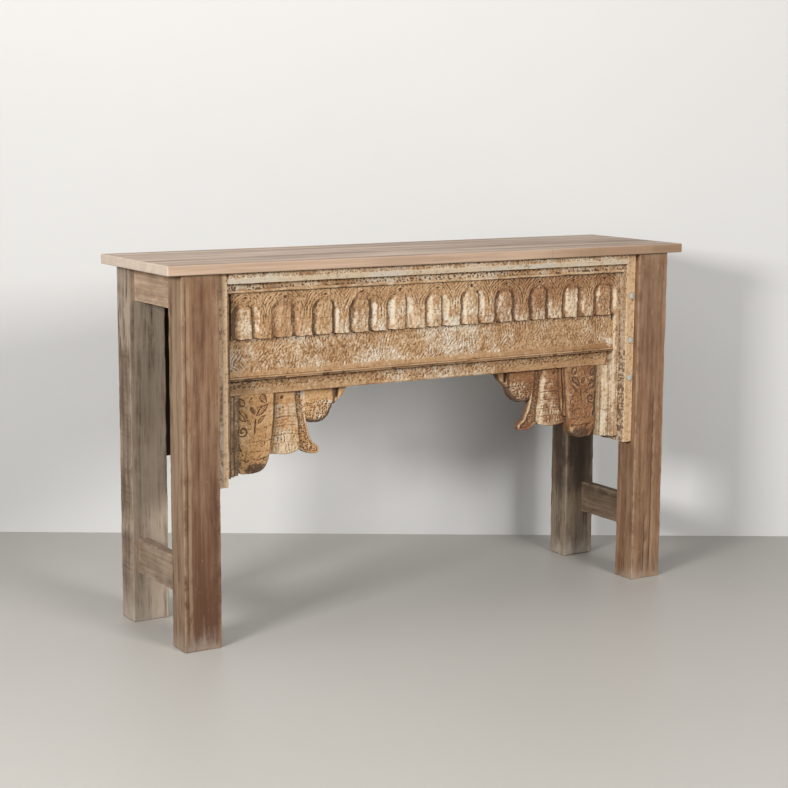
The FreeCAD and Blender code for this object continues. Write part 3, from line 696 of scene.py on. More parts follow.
# %% Cornice
low, high = span("cornice")
X, Z = grid(low, high, 1.0)
turn = low[2] + 0.45 * (high[2] - low[2])
bevel = 4.5 * np.clip((turn - Z) / (turn - low[2]), 0, 1)
field = ramp(Z, turn + 0.5, turn + 2.0) * ramp(Z, high[2] - 0.5, high[2] - 2.5)
cut = bevel + 2.0 * field * pits(X, Z - turn, 6.4, 2.2, 301, 0.9) + 0.5 + 0.5 * flat_noise(X, Z, 40, 9, 302)
# The bevel is cream with lime, and more lime and less dirt paint it paler still, because facing down it gets
# less light: partly real lime, partly painted light.
lime = 0.6 + 0.8 * (Z < turn) + 0.2 * flat_noise(X, Z, 90, 30, 303)
edge = board_edge(X, Z, low, high, 0.8, 304)
wear(carved("cornice", X, Z, edge, cut, lime, -0.3, -0.4 * (Z < turn) - 0.15), CARVED)

# %% Cove and fillet
low, high = span("cove")
X, Z = grid(low, high, 1.0)
wave = 1.4 * noise(X, 0.0, 0 * Z, (48.0, 1.0, 1.0), 311) + 0.7 * noise(X, 0.0, 0 * Z, (13.0, 1.0, 1.0), 312)
over = Z - low[2] - 6.0 - wave
up = np.clip(over / 16.0, 0, 1)
in_cove = up > 0
spots = pits(X, 0 * Z + 14.0, 28.0, 9.0, 318, 0.8) * ramp(up, 0.55, 0.05) * in_cove
spots = spots * (0.35 + 0.65 * ramp(X, 20.0, 140.0))
cut = 6.5 * np.sqrt(np.clip(1 - (2 * up - 1) ** 2, 0, 1)) * in_cove + 1.4 * ramp(over, -3.4, -6.0)
cut = cut + 1.8 * in_cove * pits(X, Z, 7.5, 3.2, 313, 0.6) + 3.0 * spots
cut = cut + 0.4 + 0.4 * flat_noise(X, Z, 30, 8, 314)
lime = 0.58 + 0.3 * flat_noise(X, Z, 70, 20, 315) - 0.2 * ~in_cove - 0.2 * ramp(X, 60.0, 260.0) * in_cove
tint = 0.25 * flat_noise(X, Z, 160, 40, 317) - 0.3
sooty = -0.22 + 0.25 * flat_noise(X, Z, 60, 14, 319) + 0.2 * ramp(X, -330.0, -480.0)
# Painted shade: a dark line in the crease above the fillet and one under it.
painted_shade_lines = 0.5 * np.exp(-(((over - 0.4) / 1.2) ** 2)) + 0.6 * ramp(over, -4.6, -6.0)
edge = board_edge(X, Z, low, high, 0.6, 316)
wear(carved("cove", X, Z, edge, cut, lime, tint, 0.75 * spots + sooty * in_cove + painted_shade_lines), CARVED)

# %% [markdown]
# The arcade is the piece that everyone looks at: eleven pointed niches, each a deep groove round a
# raised tablet, with a hole drilled at the point and fronds in the spandrels that follow the curve
# of the arch. It could be modelled niche by niche. Here distance does the work: the groove lies
# between the distance to the arch and the distance to the tablet, and rim and fronds are bands of
# the first. Each niche is pushed a little off its place and size, as by hand. Lime has stayed as
# streaks in some grooves. Each groove also gets painted shade on its left part, the wall that the
# window lamp misses, and its lime lies on the right part, the lit wall, as painted highlight too;
# each niche has its own share of both.

# %% Distances to arch and tablet
def arch_distance(across, height, half, spring, rise):
    """About how far outside a pointed arch a place lies."""
    top = np.clip(height - spring, 0, None) / rise
    return ((np.abs(across) / half) ** 1.5 + top**1.5) ** (1 / 1.5) * half - half


def slab_distance(across, height, half, top, corner):
    """How far outside an upright slab with a rounded top a place lies."""
    side, above = np.abs(across) - half + corner, height - top + corner
    outside = np.hypot(np.clip(side, 0, None), np.clip(above, 0, None))
    return outside + np.minimum(np.maximum(side, above), 0) - corner


print("40 mm from the middle of a 35 mm arch:", round(float(arch_distance(40.0, 0.0, 35.0, 57.0, 37.0)), 2))

# %% Layout of the niches
NICHES, NICHE_HALF = 11, 35.0
low, high = span("arcade")
X, Z = grid(low, high, 1.1)
reach = high[0] - NICHE_HALF
pitch = 2 * reach / (NICHES - 1)
index = np.clip(np.round((X + reach) / pitch), 0, NICHES - 1).astype(np.int64)


def own(k, seed):
    """A value from -1 to 1 that all places of one niche share."""
    return 2 * chance(index, 0 * index + k, 0 * index, seed) - 1


across = X + reach - index * pitch + 1.6 * own(0, 402) + 2.2 * noise(X, 0.0, Z, (18.0, 1.0, 24.0), 401)
tall = Z - low[2] + 1.6 * noise(X, 3.0, Z, (18.0, 1.0, 18.0), 400)
outer = arch_distance(across, tall, NICHE_HALF + 1.5 * own(1, 403), 57.0 + 2 * own(2, 404), 37.0)
tablet = slab_distance(across, tall, 14.5 + 1.6 * own(3, 405), 73.0 + 3 * own(4, 406), 7.0)
in_groove = (outer < 0) * (tablet > 0)
on_tablet = ramp(-tablet, 0.0, 2.0)
share = np.clip(tablet / np.maximum(tablet - outer, 1e-3), 0, 1)
print("niches", NICHES, "every", round(float(pitch), 1), "mm")

# %% Cuts of the arcade
within = in_groove * ramp(tall, 82.0, 68.0)
groove = np.sin(np.pi * share) ** 0.7 * in_groove * (0.2 + 0.8 * ramp(tall, 84.0, 68.0))
outline = np.exp(-(((outer + 0.5) / 1.7) ** 2)) * ramp(tall, 46.0, 64.0)
bend = outer + 2.4 * flat_noise(X, Z, 15, 18, 407)
frond = (0.5 + 0.5 * np.cos(2 * np.pi * (bend - 4.6) / 7.6)) ** 1.6 * ramp(outer, 1.5, 4.0)
frond = frond * ramp(tall, 28.0, 56.0) * ramp(flat_noise(X, Z, 12, 18, 413), -0.8, 0.1)
hole = np.clip(1 - (across / 4.6) ** 2 - ((tall - 91.0) / 3.4) ** 2, 0, 1)
chevron = np.exp(-(((outer + 6.0) / 1.8) ** 2)) * ramp(tall, 74.0, 82.0)
scribble = noise(X, 0.0, Z, (3.8, 1.0, 8.0), 408) + 0.8 * noise(X, 2.0, Z, (2.8, 1.0, 3.4), 414)
line = np.exp(-(((tall - 40.0 - 3 * own(5, 409)) / 1.1) ** 2)) * on_tablet * (own(6, 410) > 0.2)
worn = 0.8 + 0.3 * flat_noise(X, Z, 60, 40, 411)
cut = (7.5 * groove + 2.8 * frond + 1.8 * outline + 1.6 * chevron + 7.0 * hole + 1.3 * line) * worn
cut = cut + (1.3 - 0.3 * within) * scribble + 2.4 + 0.7 * flat_noise(X, Z, 35, 35, 412)
print("deepest cut of the arcade", round(float(cut.max()), 1), "mm")

# %% Lime, painted highlight and painted shade of the arcade
LEFT_LIME = np.array([0.2, 0.0, 0.0, 0.0, 0.8, 0.55, 0.4, 0.0, 0.0, 0.5, 0.3])
RIGHT_LIME = np.array([0.6, 0.0, 0.35, 0.35, 0.85, 0.8, 0.8, 0.1, 0.1, 0.4, 0.4])
GROOVE_SHADE = np.array([0.5, 0.25, 0.6, 0.6, 0.35, 0.3, 0.35, 0.35, 0.35, 0.3, 0.35])
TABLET_LIME = np.array([0.4, 0.12, 0.1, 0.05, 0.04, 0.06, 0.1, 0.05, 0.15, 0.4, 0.2])
NICHE_TINT = np.array([0.1, 0.55, 0.3, 0.3, 0.05, 0.0, 0.05, 0.6, 0.55, 0.15, 0.2])
# Painted shade on the left part of each groove, and lime with painted highlight on the right part, the wall
# that faces the window lamp.
leftward = np.where(across < 0, share, 1 - share)
rightward = ramp(X, 60.0, 300.0)
groove_lime = np.where(across < 0, LEFT_LIME[index], RIGHT_LIME[index])
limed = 0.2 + 0.42 * groove_lime
streaky = ramp(noise(X, 5.0, Z, (5.0, 1.0, 22.0), 419), -0.7, 0.5) * ramp(tall, 6.0, 26.0)
lime_and_highlight = within * streaky * ramp(leftward, limed + 0.15, limed - 0.15) * (groove_lime > 0.15)
bare = (across < 0) * (groove_lime < 0.3)
patchy = 0.45 + 0.55 * ramp(noise(X, 8.0, Z, (10.0, 1.0, 20.0), 421), -0.6, 0.5)
shaded_wall = within * patchy * np.maximum(ramp(leftward, limed, limed + 0.25), 0.6 * bare * ramp(share, 0.0, 0.4))
lime = 0.2 + 0.12 * np.exp(-((X / 200.0) ** 2)) + 0.2 * flat_noise(X, Z, 120, 60, 415)
lime = lime + groove_lime * lime_and_highlight + TABLET_LIME[index] * on_tablet
lime = lime + 0.35 * ramp(tall, 34.0, 6.0) * ramp(outer, 0.0, 4.0) - 0.22 * ramp(tall, 55.0, 75.0)
tint = NICHE_TINT[index] * ramp(outer, 9.0, -3.0) + 0.2 * flat_noise(X, Z, 150, 60, 417)
tint = tint + 0.6 * rightward + 0.25 * ramp(tall, 60.0, 85.0) - 0.1
dirt_and_shade = 0.35 * ramp(tall, 88.0, 103.0) * ramp(X, -60.0, 250.0) + 0.45 * ramp(X, low[0] + 18, low[0]) - 0.1
dirt_and_shade = dirt_and_shade + GROOVE_SHADE[index] * shaded_wall + 0.15 * outline + 0.2 * chevron
dirt_and_shade = dirt_and_shade + 0.1 * rightward - 0.2 * lime_and_highlight
edge = np.minimum(board_edge(X, Z, low, high, 1.6, 418), Z - low[2] - 1.8 * groove)
wear(carved("arcade", X, Z, edge, np.maximum(cut, 0), lime, tint, dirt_and_shade), CARVED)

# %% [markdown]
# The frieze is covered with shallow cuts that once were leaves and now read as loose groups of
# slanting strokes. A repeated stamp would look printed, so each place belongs to the nearest of many
# loosely placed centres, which gives a group its slant; noise then bends the strokes and wears some
# of them away. The lower margin was left plain, and a chipped ledge strip closes it below.

# %% Groups of strokes
GROUP_WIDE, GROUP_HIGH = 21.0, 26.0


def stroke_groups(x, z, seed):
    """A chance value shared by all places of one loosely placed group of strokes."""
    ci, cj = np.floor(x / GROUP_WIDE).astype(np.int64), np.floor(z / GROUP_HIGH).astype(np.int64)
    nearest, value = np.full(x.shape, 9.0), np.zeros(x.shape)
    for i in (ci - 1, ci, ci + 1):
        for j in (cj - 1, cj, cj + 1):
            px = (i + 0.1 + 0.8 * chance(i, j, 4, seed)) * GROUP_WIDE
            pz = (j + 0.1 + 0.8 * chance(i, j, 5, seed)) * GROUP_HIGH
            r = np.hypot((x - px) / GROUP_WIDE, (z - pz) / GROUP_HIGH)
            value = np.where(r < nearest, chance(i, j, 6, seed), value)
            nearest = np.minimum(nearest, r)
    return value


print("a group of strokes is about", GROUP_WIDE, "by", GROUP_HIGH, "mm")

# %% Frieze
low, high = span("frieze")
X, Z = grid(low, high, 1.1)
bent_x = X + 3.0 * noise(X, 0.0, Z, (20.0, 1.0, 18.0), 501)
bent_z = Z - low[2] + 3.0 * noise(X, 1.0, Z, (18.0, 1.0, 20.0), 502)
group = stroke_groups(bent_x, bent_z, 503)
lean = np.radians(40.0 + 100.0 * group)
along = bent_x * np.sin(lean) + bent_z * np.cos(lean) + 40 * group
strokes = (0.5 + 0.5 * np.cos(2 * np.pi * along / 7.4)) ** 4
lumps = noise(X, 0.0, Z, (4.4, 1.0, 4.6), 510) + 0.8 * noise(X, 2.0, Z, (2.7, 1.0, 2.7), 515)
worn = ramp(flat_noise(X, Z, 34, 22, 504), -0.6, 0.5)
field = ramp(bent_z, 10.0, 14.0)
rightward = ramp(X, 60.0, 350.0)
cut = field * (1.2 + 1.8 * strokes * (0.15 + 0.85 * worn) + 1.1 * lumps)
cut = cut + 1.0 + 0.5 * flat_noise(X, Z, 40, 25, 506)
lime = 0.06 + 0.3 * field + 0.2 * flat_noise(X, Z, 90, 45, 507)
lime = lime - 0.1 * rightward + 0.12 * np.exp(-(((X - 60) / 300) ** 2))
daub = np.hypot((X - 515) / 15, (Z - low[2] - 18) / 16) + 0.45 * noise(X, 3.0, Z, (9.0, 1.0, 9.0), 516)
lime = lime + 0.5 * ramp(daub, 1.0, 0.5)
tint = 0.45 * (1 - field) + 0.2 * flat_noise(X, Z, 120, 70, 508) - 0.3 + 0.4 * rightward
dirt_and_shade = 0.3 * ramp(X, low[0] + 55, low[0]) * field + 0.1 * rightward - 0.1
# Painted shadow along the top of the frieze, where the arcade overhangs it.
dirt_and_shade = dirt_and_shade + 0.4 * ramp(bent_z, 68.0, 83.0) * ramp(lumps, -0.8, 0.6)
edge = board_edge(X, Z, low, high, 0.8, 509)
notch = np.maximum(np.abs(X - 527.0) - 2.0 - 0.2 * (Z - high[2] + 17.0), high[2] - 17.0 - Z)
wear(carved("frieze", X, Z, np.minimum(edge, notch), np.maximum(cut, 0), lime, tint, dirt_and_shade, 4, 0.1), CARVED)

# %% Ledge
low, high = span("ledge")
X, Z = grid(low, high, 0.9)
up = (Z - low[2]) / (high[2] - low[2])
chip = ramp(flat_noise(X, 0 * Z, 22, 1, 511), 0.35, 0.6)
cut = 1.5 * (2 * up - 1) ** 4 + 2.4 * np.exp(-(((up - 0.3) / 0.22) ** 2)) + 4.0 * chip * ramp(up, 0.6, 0.2)
cut = cut + 0.4 + 0.3 * flat_noise(X, Z, 18, 4, 512)
edge = board_edge(X, Z, low, high, 0.8, 513)
lime = -0.1 + 0.3 * flat_noise(X, Z, 80, 9, 514)
soot = np.clip(0.45 + 0.9 * flat_noise(X, 0 * Z, 90, 1, 517), 0, 1)
wear(carved("ledge", X, Z, edge, cut, lime, 0.4, 0.8 * soot * np.exp(-(((up - 0.3) / 0.3) ** 2))), CARVED)

# %% [markdown]
# The lower beam is stippled and carries the brackets. It is two lengths, with an open joint where
# the right-hand bracket begins. Over the brackets its lower margin is plain and the face leans back
# to meet them, so that beam and bracket read as one old piece. The stipple is lumpy noise with
# pits in it, because a clean grid of dots would look new.

# %% Lower beam
for n, node in enumerate(("beam", "beam_end")):
    low, high = span(node)
    X, Z = grid(low, high, 1.1)
    up = (Z - low[2]) / (high[2] - low[2])
    lumps = noise(X, 0.0, Z, (4.8, 1.0, 4.8), 530 + n) + 0.8 * noise(X, 2.0, Z, (2.8, 1.0, 2.8), 532 + n)
    on_bracket = 1.0 if n else ramp(X, -210.0, -290.0)
    plain = 0.1 + 0.22 * on_bracket
    cut = 1.9 + (1.6 * lumps + 1.8 * pits(X, Z, 6.4, 3.0, 521 + n, 0.7)) * ramp(up, plain, plain + 0.18)
    cut = cut + 0.9 * flat_noise(X, Z, 26, 12, 523 + n) + 1.2 * ramp(up, 0.88, 1.0)
    cut = cut + 3.6 * on_bracket * ramp(up, 1.0, 0.0) + 2.0 * (1 - on_bracket) * ramp(up, 0.1, 0.0)
    ends = np.minimum(X - low[0], high[0] - X)
    cut = cut + 3.0 * ramp(ends, 5.0, 0.0) * (n == 1)
    edge = board_edge(X, Z, low, high, 1.4, 525 + n)
    lime = 0.14 + 0.3 * np.exp(-(((X - 60) / 200) ** 2)) + 0.22 * flat_noise(X, Z, 90, 30, 527 + n)
    tint = 0.3 * n + 0.25 * flat_noise(X, Z, 80, 30, 529) - 0.15 + 0.1 * ramp(up, 0.3, 0.1)
    # Painted shade at the top, under the ledge, in the low places of the stipple; the lower margin, leaning
    # back and facing down, is painted paler: painted light.
    dirt_and_shade = 0.5 * ramp(X, -380, -525) + 0.3 * ramp(up, 0.7, 1.0) * ramp(lumps, -0.8, 0.6) - 0.1
    dirt_and_shade = dirt_and_shade - 0.8 * ramp(up, 0.18, 0.03) + 0.2 * n
    wear(carved(node, X, Z, edge, np.maximum(cut, 0), lime, tint, dirt_and_shade), CARVED)

# %% [markdown]
# Beside each stile the frame steps back in plain upright strips. Rain has opened the soft grain of
# these into long flutes. A swept moulding would give the steps alone; as a relief they also take the
# flutes, which are noise stretched along the height.

# %% Jambs
JAMB = carved_finish("carved_uprights", 40.0, (0.38, 0.23, 0.115), (0.48, 0.335, 0.2), 2)
for side, word in ((-1, "left"), (1, "right")):
    low, high = span("jamb_" + word)
    X, Z = grid(low, high, 0.9)
    out = high[0] if side > 0 else -low[0]
    inward = out - side * X
    shelf = span("beam")[0][2]
    steps = 12.0 * ramp(inward, 16.2, 17.8) + 11.0 * ramp(inward, 31.2, 32.8)
    flute = noise(X, 0.0, Z, (3.4, 1.0, 90.0), 601 + side)
    flute = flute + 0.6 * noise(X, 0.0, Z, (1.9, 1.0, 40.0), 611 + side)
    cut = steps + 1.0 + 1.1 * flute + 1.4 * pits(X, Z, 5.0, 2.2, 621 + side, 0.3)
    narrow = np.minimum(np.minimum(inward, 17.0 - inward), np.minimum(high[2] - Z, Z - low[2]))
    broad = np.minimum(np.minimum(inward, 47.0 - inward), np.minimum(shelf - Z, Z - low[2]))
    frayed = 1.5 * (1 + flat_noise(X, Z, 7, 40, 631 + side)) * ramp(Z, low[2] + 9, low[2])
    edge = np.maximum(narrow, broad) - frayed
    lime = 0.28 + 0.08 * side + 0.34 * flat_noise(X, Z, 9, 130, 641 + side)
    # Painted shadow: the left jamb is painted darker, as the stile beside it shades it from the window lamp.
    dirt_and_shade = 0.5 * (side < 0) * (0.8 + 0.5 * flat_noise(X, Z, 9, 16, 651)) - 0.05
    # Painted light: the risers of the right jamb are painted paler, so the shade on them does not read as
    # dark lines.
    riser = ramp(inward, 12.0, 16.0) * ramp(inward, 23.0, 18.0)
    riser = riser + ramp(inward, 27.0, 31.0) * ramp(inward, 38.0, 33.0)
    dirt_and_shade = dirt_and_shade - 0.9 * riser * (side > 0)
    wear(carved("jamb_" + word, X, Z, edge, np.maximum(cut, 0), lime, 0.05, dirt_and_shade, 2), JAMB)

# %% [markdown]
# A bracket is carved from one block. From the jamb inwards: a tongue with a sprig of leaves, two thin
# ribs, a bell-shaped skirt with tiers, a band that ends in an upturned toe, a stippled bud and a
# small scalloped tip. Each part has an outline and its own depth; the block is the part that stands
# furthest forward at each place. Outlines are given as points from the jamb (across) and below the
# beam (down), so one list serves both hands.

# %% Outlines of the bracket
def rounded(points, cuts=3):
    """A smoother ring: the corners of a polygon cut again and again."""
    ring = np.array(points, float)
    for _ in range(cuts):
        after = np.roll(ring, -1, axis=0)
        ring = np.stack([0.78 * ring + 0.22 * after, 0.22 * ring + 0.78 * after], 1).reshape(-1, 2)
    return ring


def ring_distance(a, d, ring):
    """Signed distance inside a ring of points; positive inside."""
    best = np.full(a.shape, 1e9)
    inside = np.zeros(a.shape, bool)
    for (ax, ay), (bx, by) in zip(ring, np.roll(ring, -1, axis=0)):
        ex, ey = bx - ax, by - ay
        t = np.clip(((a - ax) * ex + (d - ay) * ey) / (ex * ex + ey * ey + 1e-12), 0, 1)
        best = np.minimum(best, np.hypot(a - ax - t * ex, d - ay - t * ey))
        crosses = (ay > d) != (by > d)
        inside ^= crosses & (a < (bx - ax) * (d - ay) / (by - ay + 1e-12) + ax)
    return np.where(inside, best, -best)


TONGUE = [
    (-20, -20), (93, -20), (93, 0), (92, 60), (84, 125), (79, 158),
    (62, 180), (20, 181), (10, 179), (0, 164), (-20, 164),
]
RIBS = [(80, -20), (108, -20), (108, 0), (97, 128), (60, 128), (60, -20)]
SKIRT = [(60, -20), (155, -20), (155, 0), (163, 70), (171, 138), (150, 144), (128, 147), (90, 143), (60, 143)]
BAND = [
    (140, -20), (181, -20), (182, 30), (185, 70), (193, 100), (203, 124), (213, 131),
    (221, 137), (221, 152), (200, 152), (182, 148), (172, 138), (140, 138),
]
BUD = [(170, -20), (260, -20), (260, 38), (254, 56), (243, 70), (228, 80), (212, 83), (190, 78), (170, 77)]
TIP = [(240, -20), (293, -20), (293, 0), (286, 14), (278, 25), (272, 27), (266, 33), (260, 41), (240, 41)]
PARTS = {
    "tongue": (TONGUE, 39.0), "ribs": (RIBS, 27.0), "skirt": (SKIRT, 21.0),
    "band": (BAND, 15.0), "bud": (BUD, 14.0), "tip": (TIP, 21.0),
}
print("bracket parts", list(PARTS))

# %% Leaves and scrolls on the tongue
def leaf(a, d, at, half, wide, turn):
    """Two bowed cuts that meet at both ends, one of them broader: 1 where they are deepest."""
    c, s = math.cos(math.radians(turn)), math.sin(math.radians(turn))
    u, v = (a - at[0]) * c + (d - at[1]) * s, -(a - at[0]) * s + (d - at[1]) * c
    shape = np.clip(1 - (u / half) ** 2, 0, 1)
    q = (np.abs(v) - wide * shape) / (1.2 + 1.5 * shape + 1.0 * shape * (v > 0))
    rib = 0.7 * np.exp(-((v / 1.4) ** 2)) * ramp(half * 0.65 - np.abs(u), 0.0, 3.0) * (wide >= 5.0)
    return np.maximum(np.exp(-(q**2)) * ramp(half * 1.15 - np.abs(u), 0.0, 3.0), rib)


def spiral(a, d, at, radius, turns=1.4):
    """A groove that winds inwards."""
    r, angle = np.hypot(a - at[0], 0.9 * (d - at[1])), np.arctan2(d - at[1], a - at[0])
    pitch = radius / turns
    off = (r / pitch - angle / (2 * np.pi) + 0.5) % 1 - 0.5
    return np.exp(-((off * pitch / 2.3) ** 2)) * ramp(radius - r, 0.0, 2.0) * ramp(r, 0.5, 2.5)


# Each leaf: its middle, half length, half width, turn in degrees, and depth.
LEAVES = [
    ((12, 17), 12, 5.0, 58, 1.0), ((8, 46), 20, 5.0, 49, 1.0), ((18, 44), 11, 1.2, 55, 0.8),
    ((67, 11), 11, 6.5, 60, 0.9), ((63, 37), 18, 5.5, 139, 1.0), ((62, 58), 14, 2.0, 140, 0.8),
    ((40, 36), 9, 2.0, 60, 0.9), ((36, 16), 10, 1.2, 92, 0.4), ((71, 80), 7, 2.2, 110, 0.4),
    ((70, 98), 8, 2.2, 100, 0.4), ((66, 114), 9, 2.8, 100, 0.45), ((28, 62), 9, 1.2, 50, 0.6),
    ((2, 92), 22, 1.0, 94, 0.8), ((5, 117), 11, 1.2, 62, 0.9), ((70, 148), 6, 1.5, 20, 0.6),
    ((22, 150), 8, 1.5, 10, 0.5),
]


def sprig(a, d):
    """Cuts of the leaf sprig, about 1 at the deepest."""
    bow = 2 * np.sin(d / 20.0)
    stem = np.exp(-(((a - 46 - bow) / 1.7) ** 2)) * ramp(d, 52, 60) * ramp(d, 94, 84)
    cut = np.maximum(stem, spiral(a, d, (15, 83), 13))
    for at, half, wide, turn, deep in LEAVES:
        cut = np.maximum(cut, deep * leaf(a, d, at, half, wide, turn))
    faint = 0.3 * np.exp(-(((d - 107) / 1.4) ** 2)) + 0.25 * np.exp(-(((d - 131) / 1.4) ** 2))
    return np.maximum(cut, faint * ramp(a, 20.0, 40.0))


print("leaves and strokes of the sprig:", len(LEAVES))

# %% Carving of each part
def eased_rim(inside, radius=3.5):
    """How far a rounded arris lies behind its face, by the distance inside the outline."""
    return radius * (1 - np.sqrt(np.clip(1 - (1 - np.clip(inside / radius, 0, 1)) ** 2, 0, 1)))


def tongue_carving(X, Z, a, d, rough, seed, right):
    """How far the tongue's front moves, its leaf cuts, and the dark knob at its end."""
    knob = np.clip(1 - ((a - 47) / 29.0) ** 2 - ((d - 169) / 14.5) ** 2, 0, 1)
    under = np.exp(-(((d - 149 + 0.005 * (a - 48) ** 2) / 2.2) ** 2)) * ramp(a, 20.0, 34.0)
    sway = [1.4 * noise(X, k, Z, (11.0, 1.0, 11.0), seed + 11) for k in (4.0, 6.0)]
    cuts = sprig(a + sway[0], d + sway[1]) * (0.8 + 0.3 * flat_noise(X, Z, 15, 15, seed + 12))
    raised = np.sqrt(knob) * (3.0 + 1.1 * noise(X, 8.0, Z, (3.6, 1.0, 8.0), seed + 16))
    lowered = 4.6 * cuts + 0.3 * rough * right + 1.6 * under + 5.0 * ramp(d, 140, 178)
    return raised - lowered - 0.6 * pits(a, d, 5.0, 2.4, seed + 2, 0.4), cuts, knob


def skirt_carving(X, Z, a, d, rough, seed):
    """How far the skirt's front moves, and its upright ticks."""
    sag = d - 0.0035 * (a - 131) ** 2
    tiers = sum(np.exp(-(((sag - at) / 1.6) ** 2)) for at in (38, 59, 80, 100, 119))
    loose = a + 4.2 * np.floor((sag - 100.0) / 19.0) + 2.4 * noise(X, 7.0, Z, (9.0, 1.0, 9.0), seed + 13)
    tick = np.exp(-((((loose / 8.4 + 0.5) % 1 - 0.5) * 8.4 / 1.8) ** 2)) * ramp(sag, 78, 100)
    tick = tick * ramp(flat_noise(X, Z, 14, 14, seed + 14), -0.9, 0.2)
    courses = (0.5 + 0.5 * np.cos(2 * np.pi * (sag + 0.8 * rough) / 6.6)) ** 2
    courses = courses * ramp(sag, 30, 42) * ramp(sag, 122, 100)
    belly = 4.0 * np.clip(1 - ((a - 131.0 - 0.02 * d) / (26.0 + 0.1 * d)) ** 2, 0, 1)
    eyes = sum(np.clip(1 - (np.hypot(a - x, d - y) / 6.0) ** 2, 0, 1) for x, y in ((120, 14), (160, 12)))
    return belly - 0.9 * tiers - 1.6 * tick - 0.9 * courses - 4.5 * eyes, tick


def band_carving(a, d, inside, seed):
    """How far the band's front moves, and its stippled channel."""
    channel = ramp(inside, 3.0, 5.5) * ramp(a + 0.2 * d, 158.0, 166.0)
    return 3.0 - 4.0 * channel - 2.2 * channel * pits(a, d, 5.6, 2.6, seed + 3, 0.85), channel


def bud_carving(a, d, seed):
    """How far the bud's front moves: a stippled dome under a plain neck."""
    dome = np.clip(1 - ((a - 214) / 42.0) ** 2 - (np.clip(d - 34, 0, None) / 50.0) ** 2, 0, 1)
    stippled = pits(a, d, 5.4, 2.7, seed + 4, 0.9) * ramp(d, 27, 31)
    return 7.0 * np.sqrt(dome) - 2.6 * stippled - 1.2 * np.exp(-(((d - 27) / 1.5) ** 2))


print("rim 1 mm inside an outline lies back by", round(float(eased_rim(1.0)), 2), "mm")

# %% Brackets
BRACKETS = {
    "left": carved_finish("carved_bracket_left", 80.0, (0.53, 0.265, 0.1), (0.63, 0.385, 0.182), 2),
    "right": carved_finish("carved_bracket_right", 95.0, (0.27, 0.105, 0.036), (0.35, 0.17, 0.072), 2),
}
for side, word in ((-1, "left"), (1, "right")):
    low, high = span("bracket_" + word)
    X, Z = grid(low, high, 0.85)
    right = side > 0
    seed = 700 + 20 * right
    a = (high[0] if right else -low[0]) - side * X + 1.1 * noise(X, 0.0, Z, (16.0, 1.0, 16.0), seed)
    d = high[2] - Z + 1.1 * noise(X, 2.0, Z, (16.0, 1.0, 16.0), seed + 1)
    rough = noise(X, 0.0, Z, (4.6, 1.0, 4.6), seed + 9) + 0.7 * noise(X, 2.0, Z, (2.6, 1.0, 2.6), seed + 10)
    away = {k: ring_distance(a, d, rounded(ring)) for k, (ring, _) in PARTS.items()}
    stand = {k: np.where(away[k] > 0, thick - eased_rim(away[k]), -1.0) for k, (_, thick) in PARTS.items()}
    tongue, cuts, knob = tongue_carving(X, Z, a, d, rough, seed, right)
    skirt, tick = skirt_carving(X, Z, a, d, rough, seed)
    band, channel = band_carving(a, d, away["band"], seed)
    recess = np.clip(1 - ((a - 265.5) / 5.5) ** 4 - ((d - 13) / 16.0) ** 4, 0, 1)
    stand["tongue"] += tongue
    stand["ribs"] += 3.0 * np.cos(2 * np.pi * (a - 97.0 + (d / 137.0) * 11.0) / 8.5)
    stand["skirt"] += skirt
    stand["band"] += band
    stand["bud"] += bud_carving(a, d, seed)
    stand["tip"] -= 10.0 * recess
    front = np.maximum.reduce(list(stand.values()))
    front = front - 1.0 - 0.6 * flat_noise(X, Z, 24, 24, seed + 5) - 0.7 * rough
    thick = high[1] - low[1]
    cut = np.clip(thick - front, 0.0, thick - 5.0)
    box_edge = np.minimum(np.minimum(X - low[0], high[0] - X), np.minimum(Z - low[2], high[2] - Z))
    edge = np.minimum(np.maximum.reduce(list(away.values())), box_edge)
    on_tongue = stand["tongue"] >= front + 0.2
    on_band = (away["band"] > 0) * (stand["band"] > stand["skirt"])
    on_skirt = (away["skirt"] > 0) * (a > 100) * ~on_band
    on_bud = (away["bud"] > 0) * (a > 184) * ~on_band
    lime = 0.04 + 0.42 * on_skirt * ramp(d, 20, 34) + 0.6 * on_bud * ramp(d, 26, 34) * ramp(a, 188.0, 222.0)
    lime = lime + on_band * (0.45 - 0.15 * channel) + 0.22 * flat_noise(X, Z, 60, 60, seed + 7)
    lime = lime * (0.75 if right else 1.0)
    lime = lime + 0.45 * right * on_skirt * np.exp(-(((a - 148.0 - 0.1 * d) / 4.5) ** 2))
    tint = 0.1 + 0.5 * right + 0.25 * flat_noise(X, Z, 70, 70, seed + 8) - 0.3 * on_skirt - 0.3 * on_band
    stain = ramp(flat_noise(X, Z, 9, 12, seed + 15), -0.4, 0.5) * ramp(a, 60.0, 18.0)
    dirt_and_shade = (0.95 + 0.5 * flat_noise(X, Z, 5, 12, seed + 6)) * np.sqrt(knob) + 0.5 * ramp(a, 16.0, 0.0)
    dirt_and_shade = dirt_and_shade + on_tongue * (0.12 + 0.2 * cuts + 0.2 * stain) + 0.2 * on_skirt * tick
    dirt_and_shade = dirt_and_shade + on_bud * (0.2 * ramp(d, 27, 40) + 0.9 * ramp(away["bud"], 12.0, 3.0))
    dirt_and_shade = dirt_and_shade + 0.4 * recess + 0.3 * channel * on_band + 0.05 * right - 0.1
    piece = carved("bracket_" + word, X, Z, edge, cut, lime, tint, dirt_and_shade, 1, 0.12 if right else 0.3)
    wear(piece, BRACKETS[word])

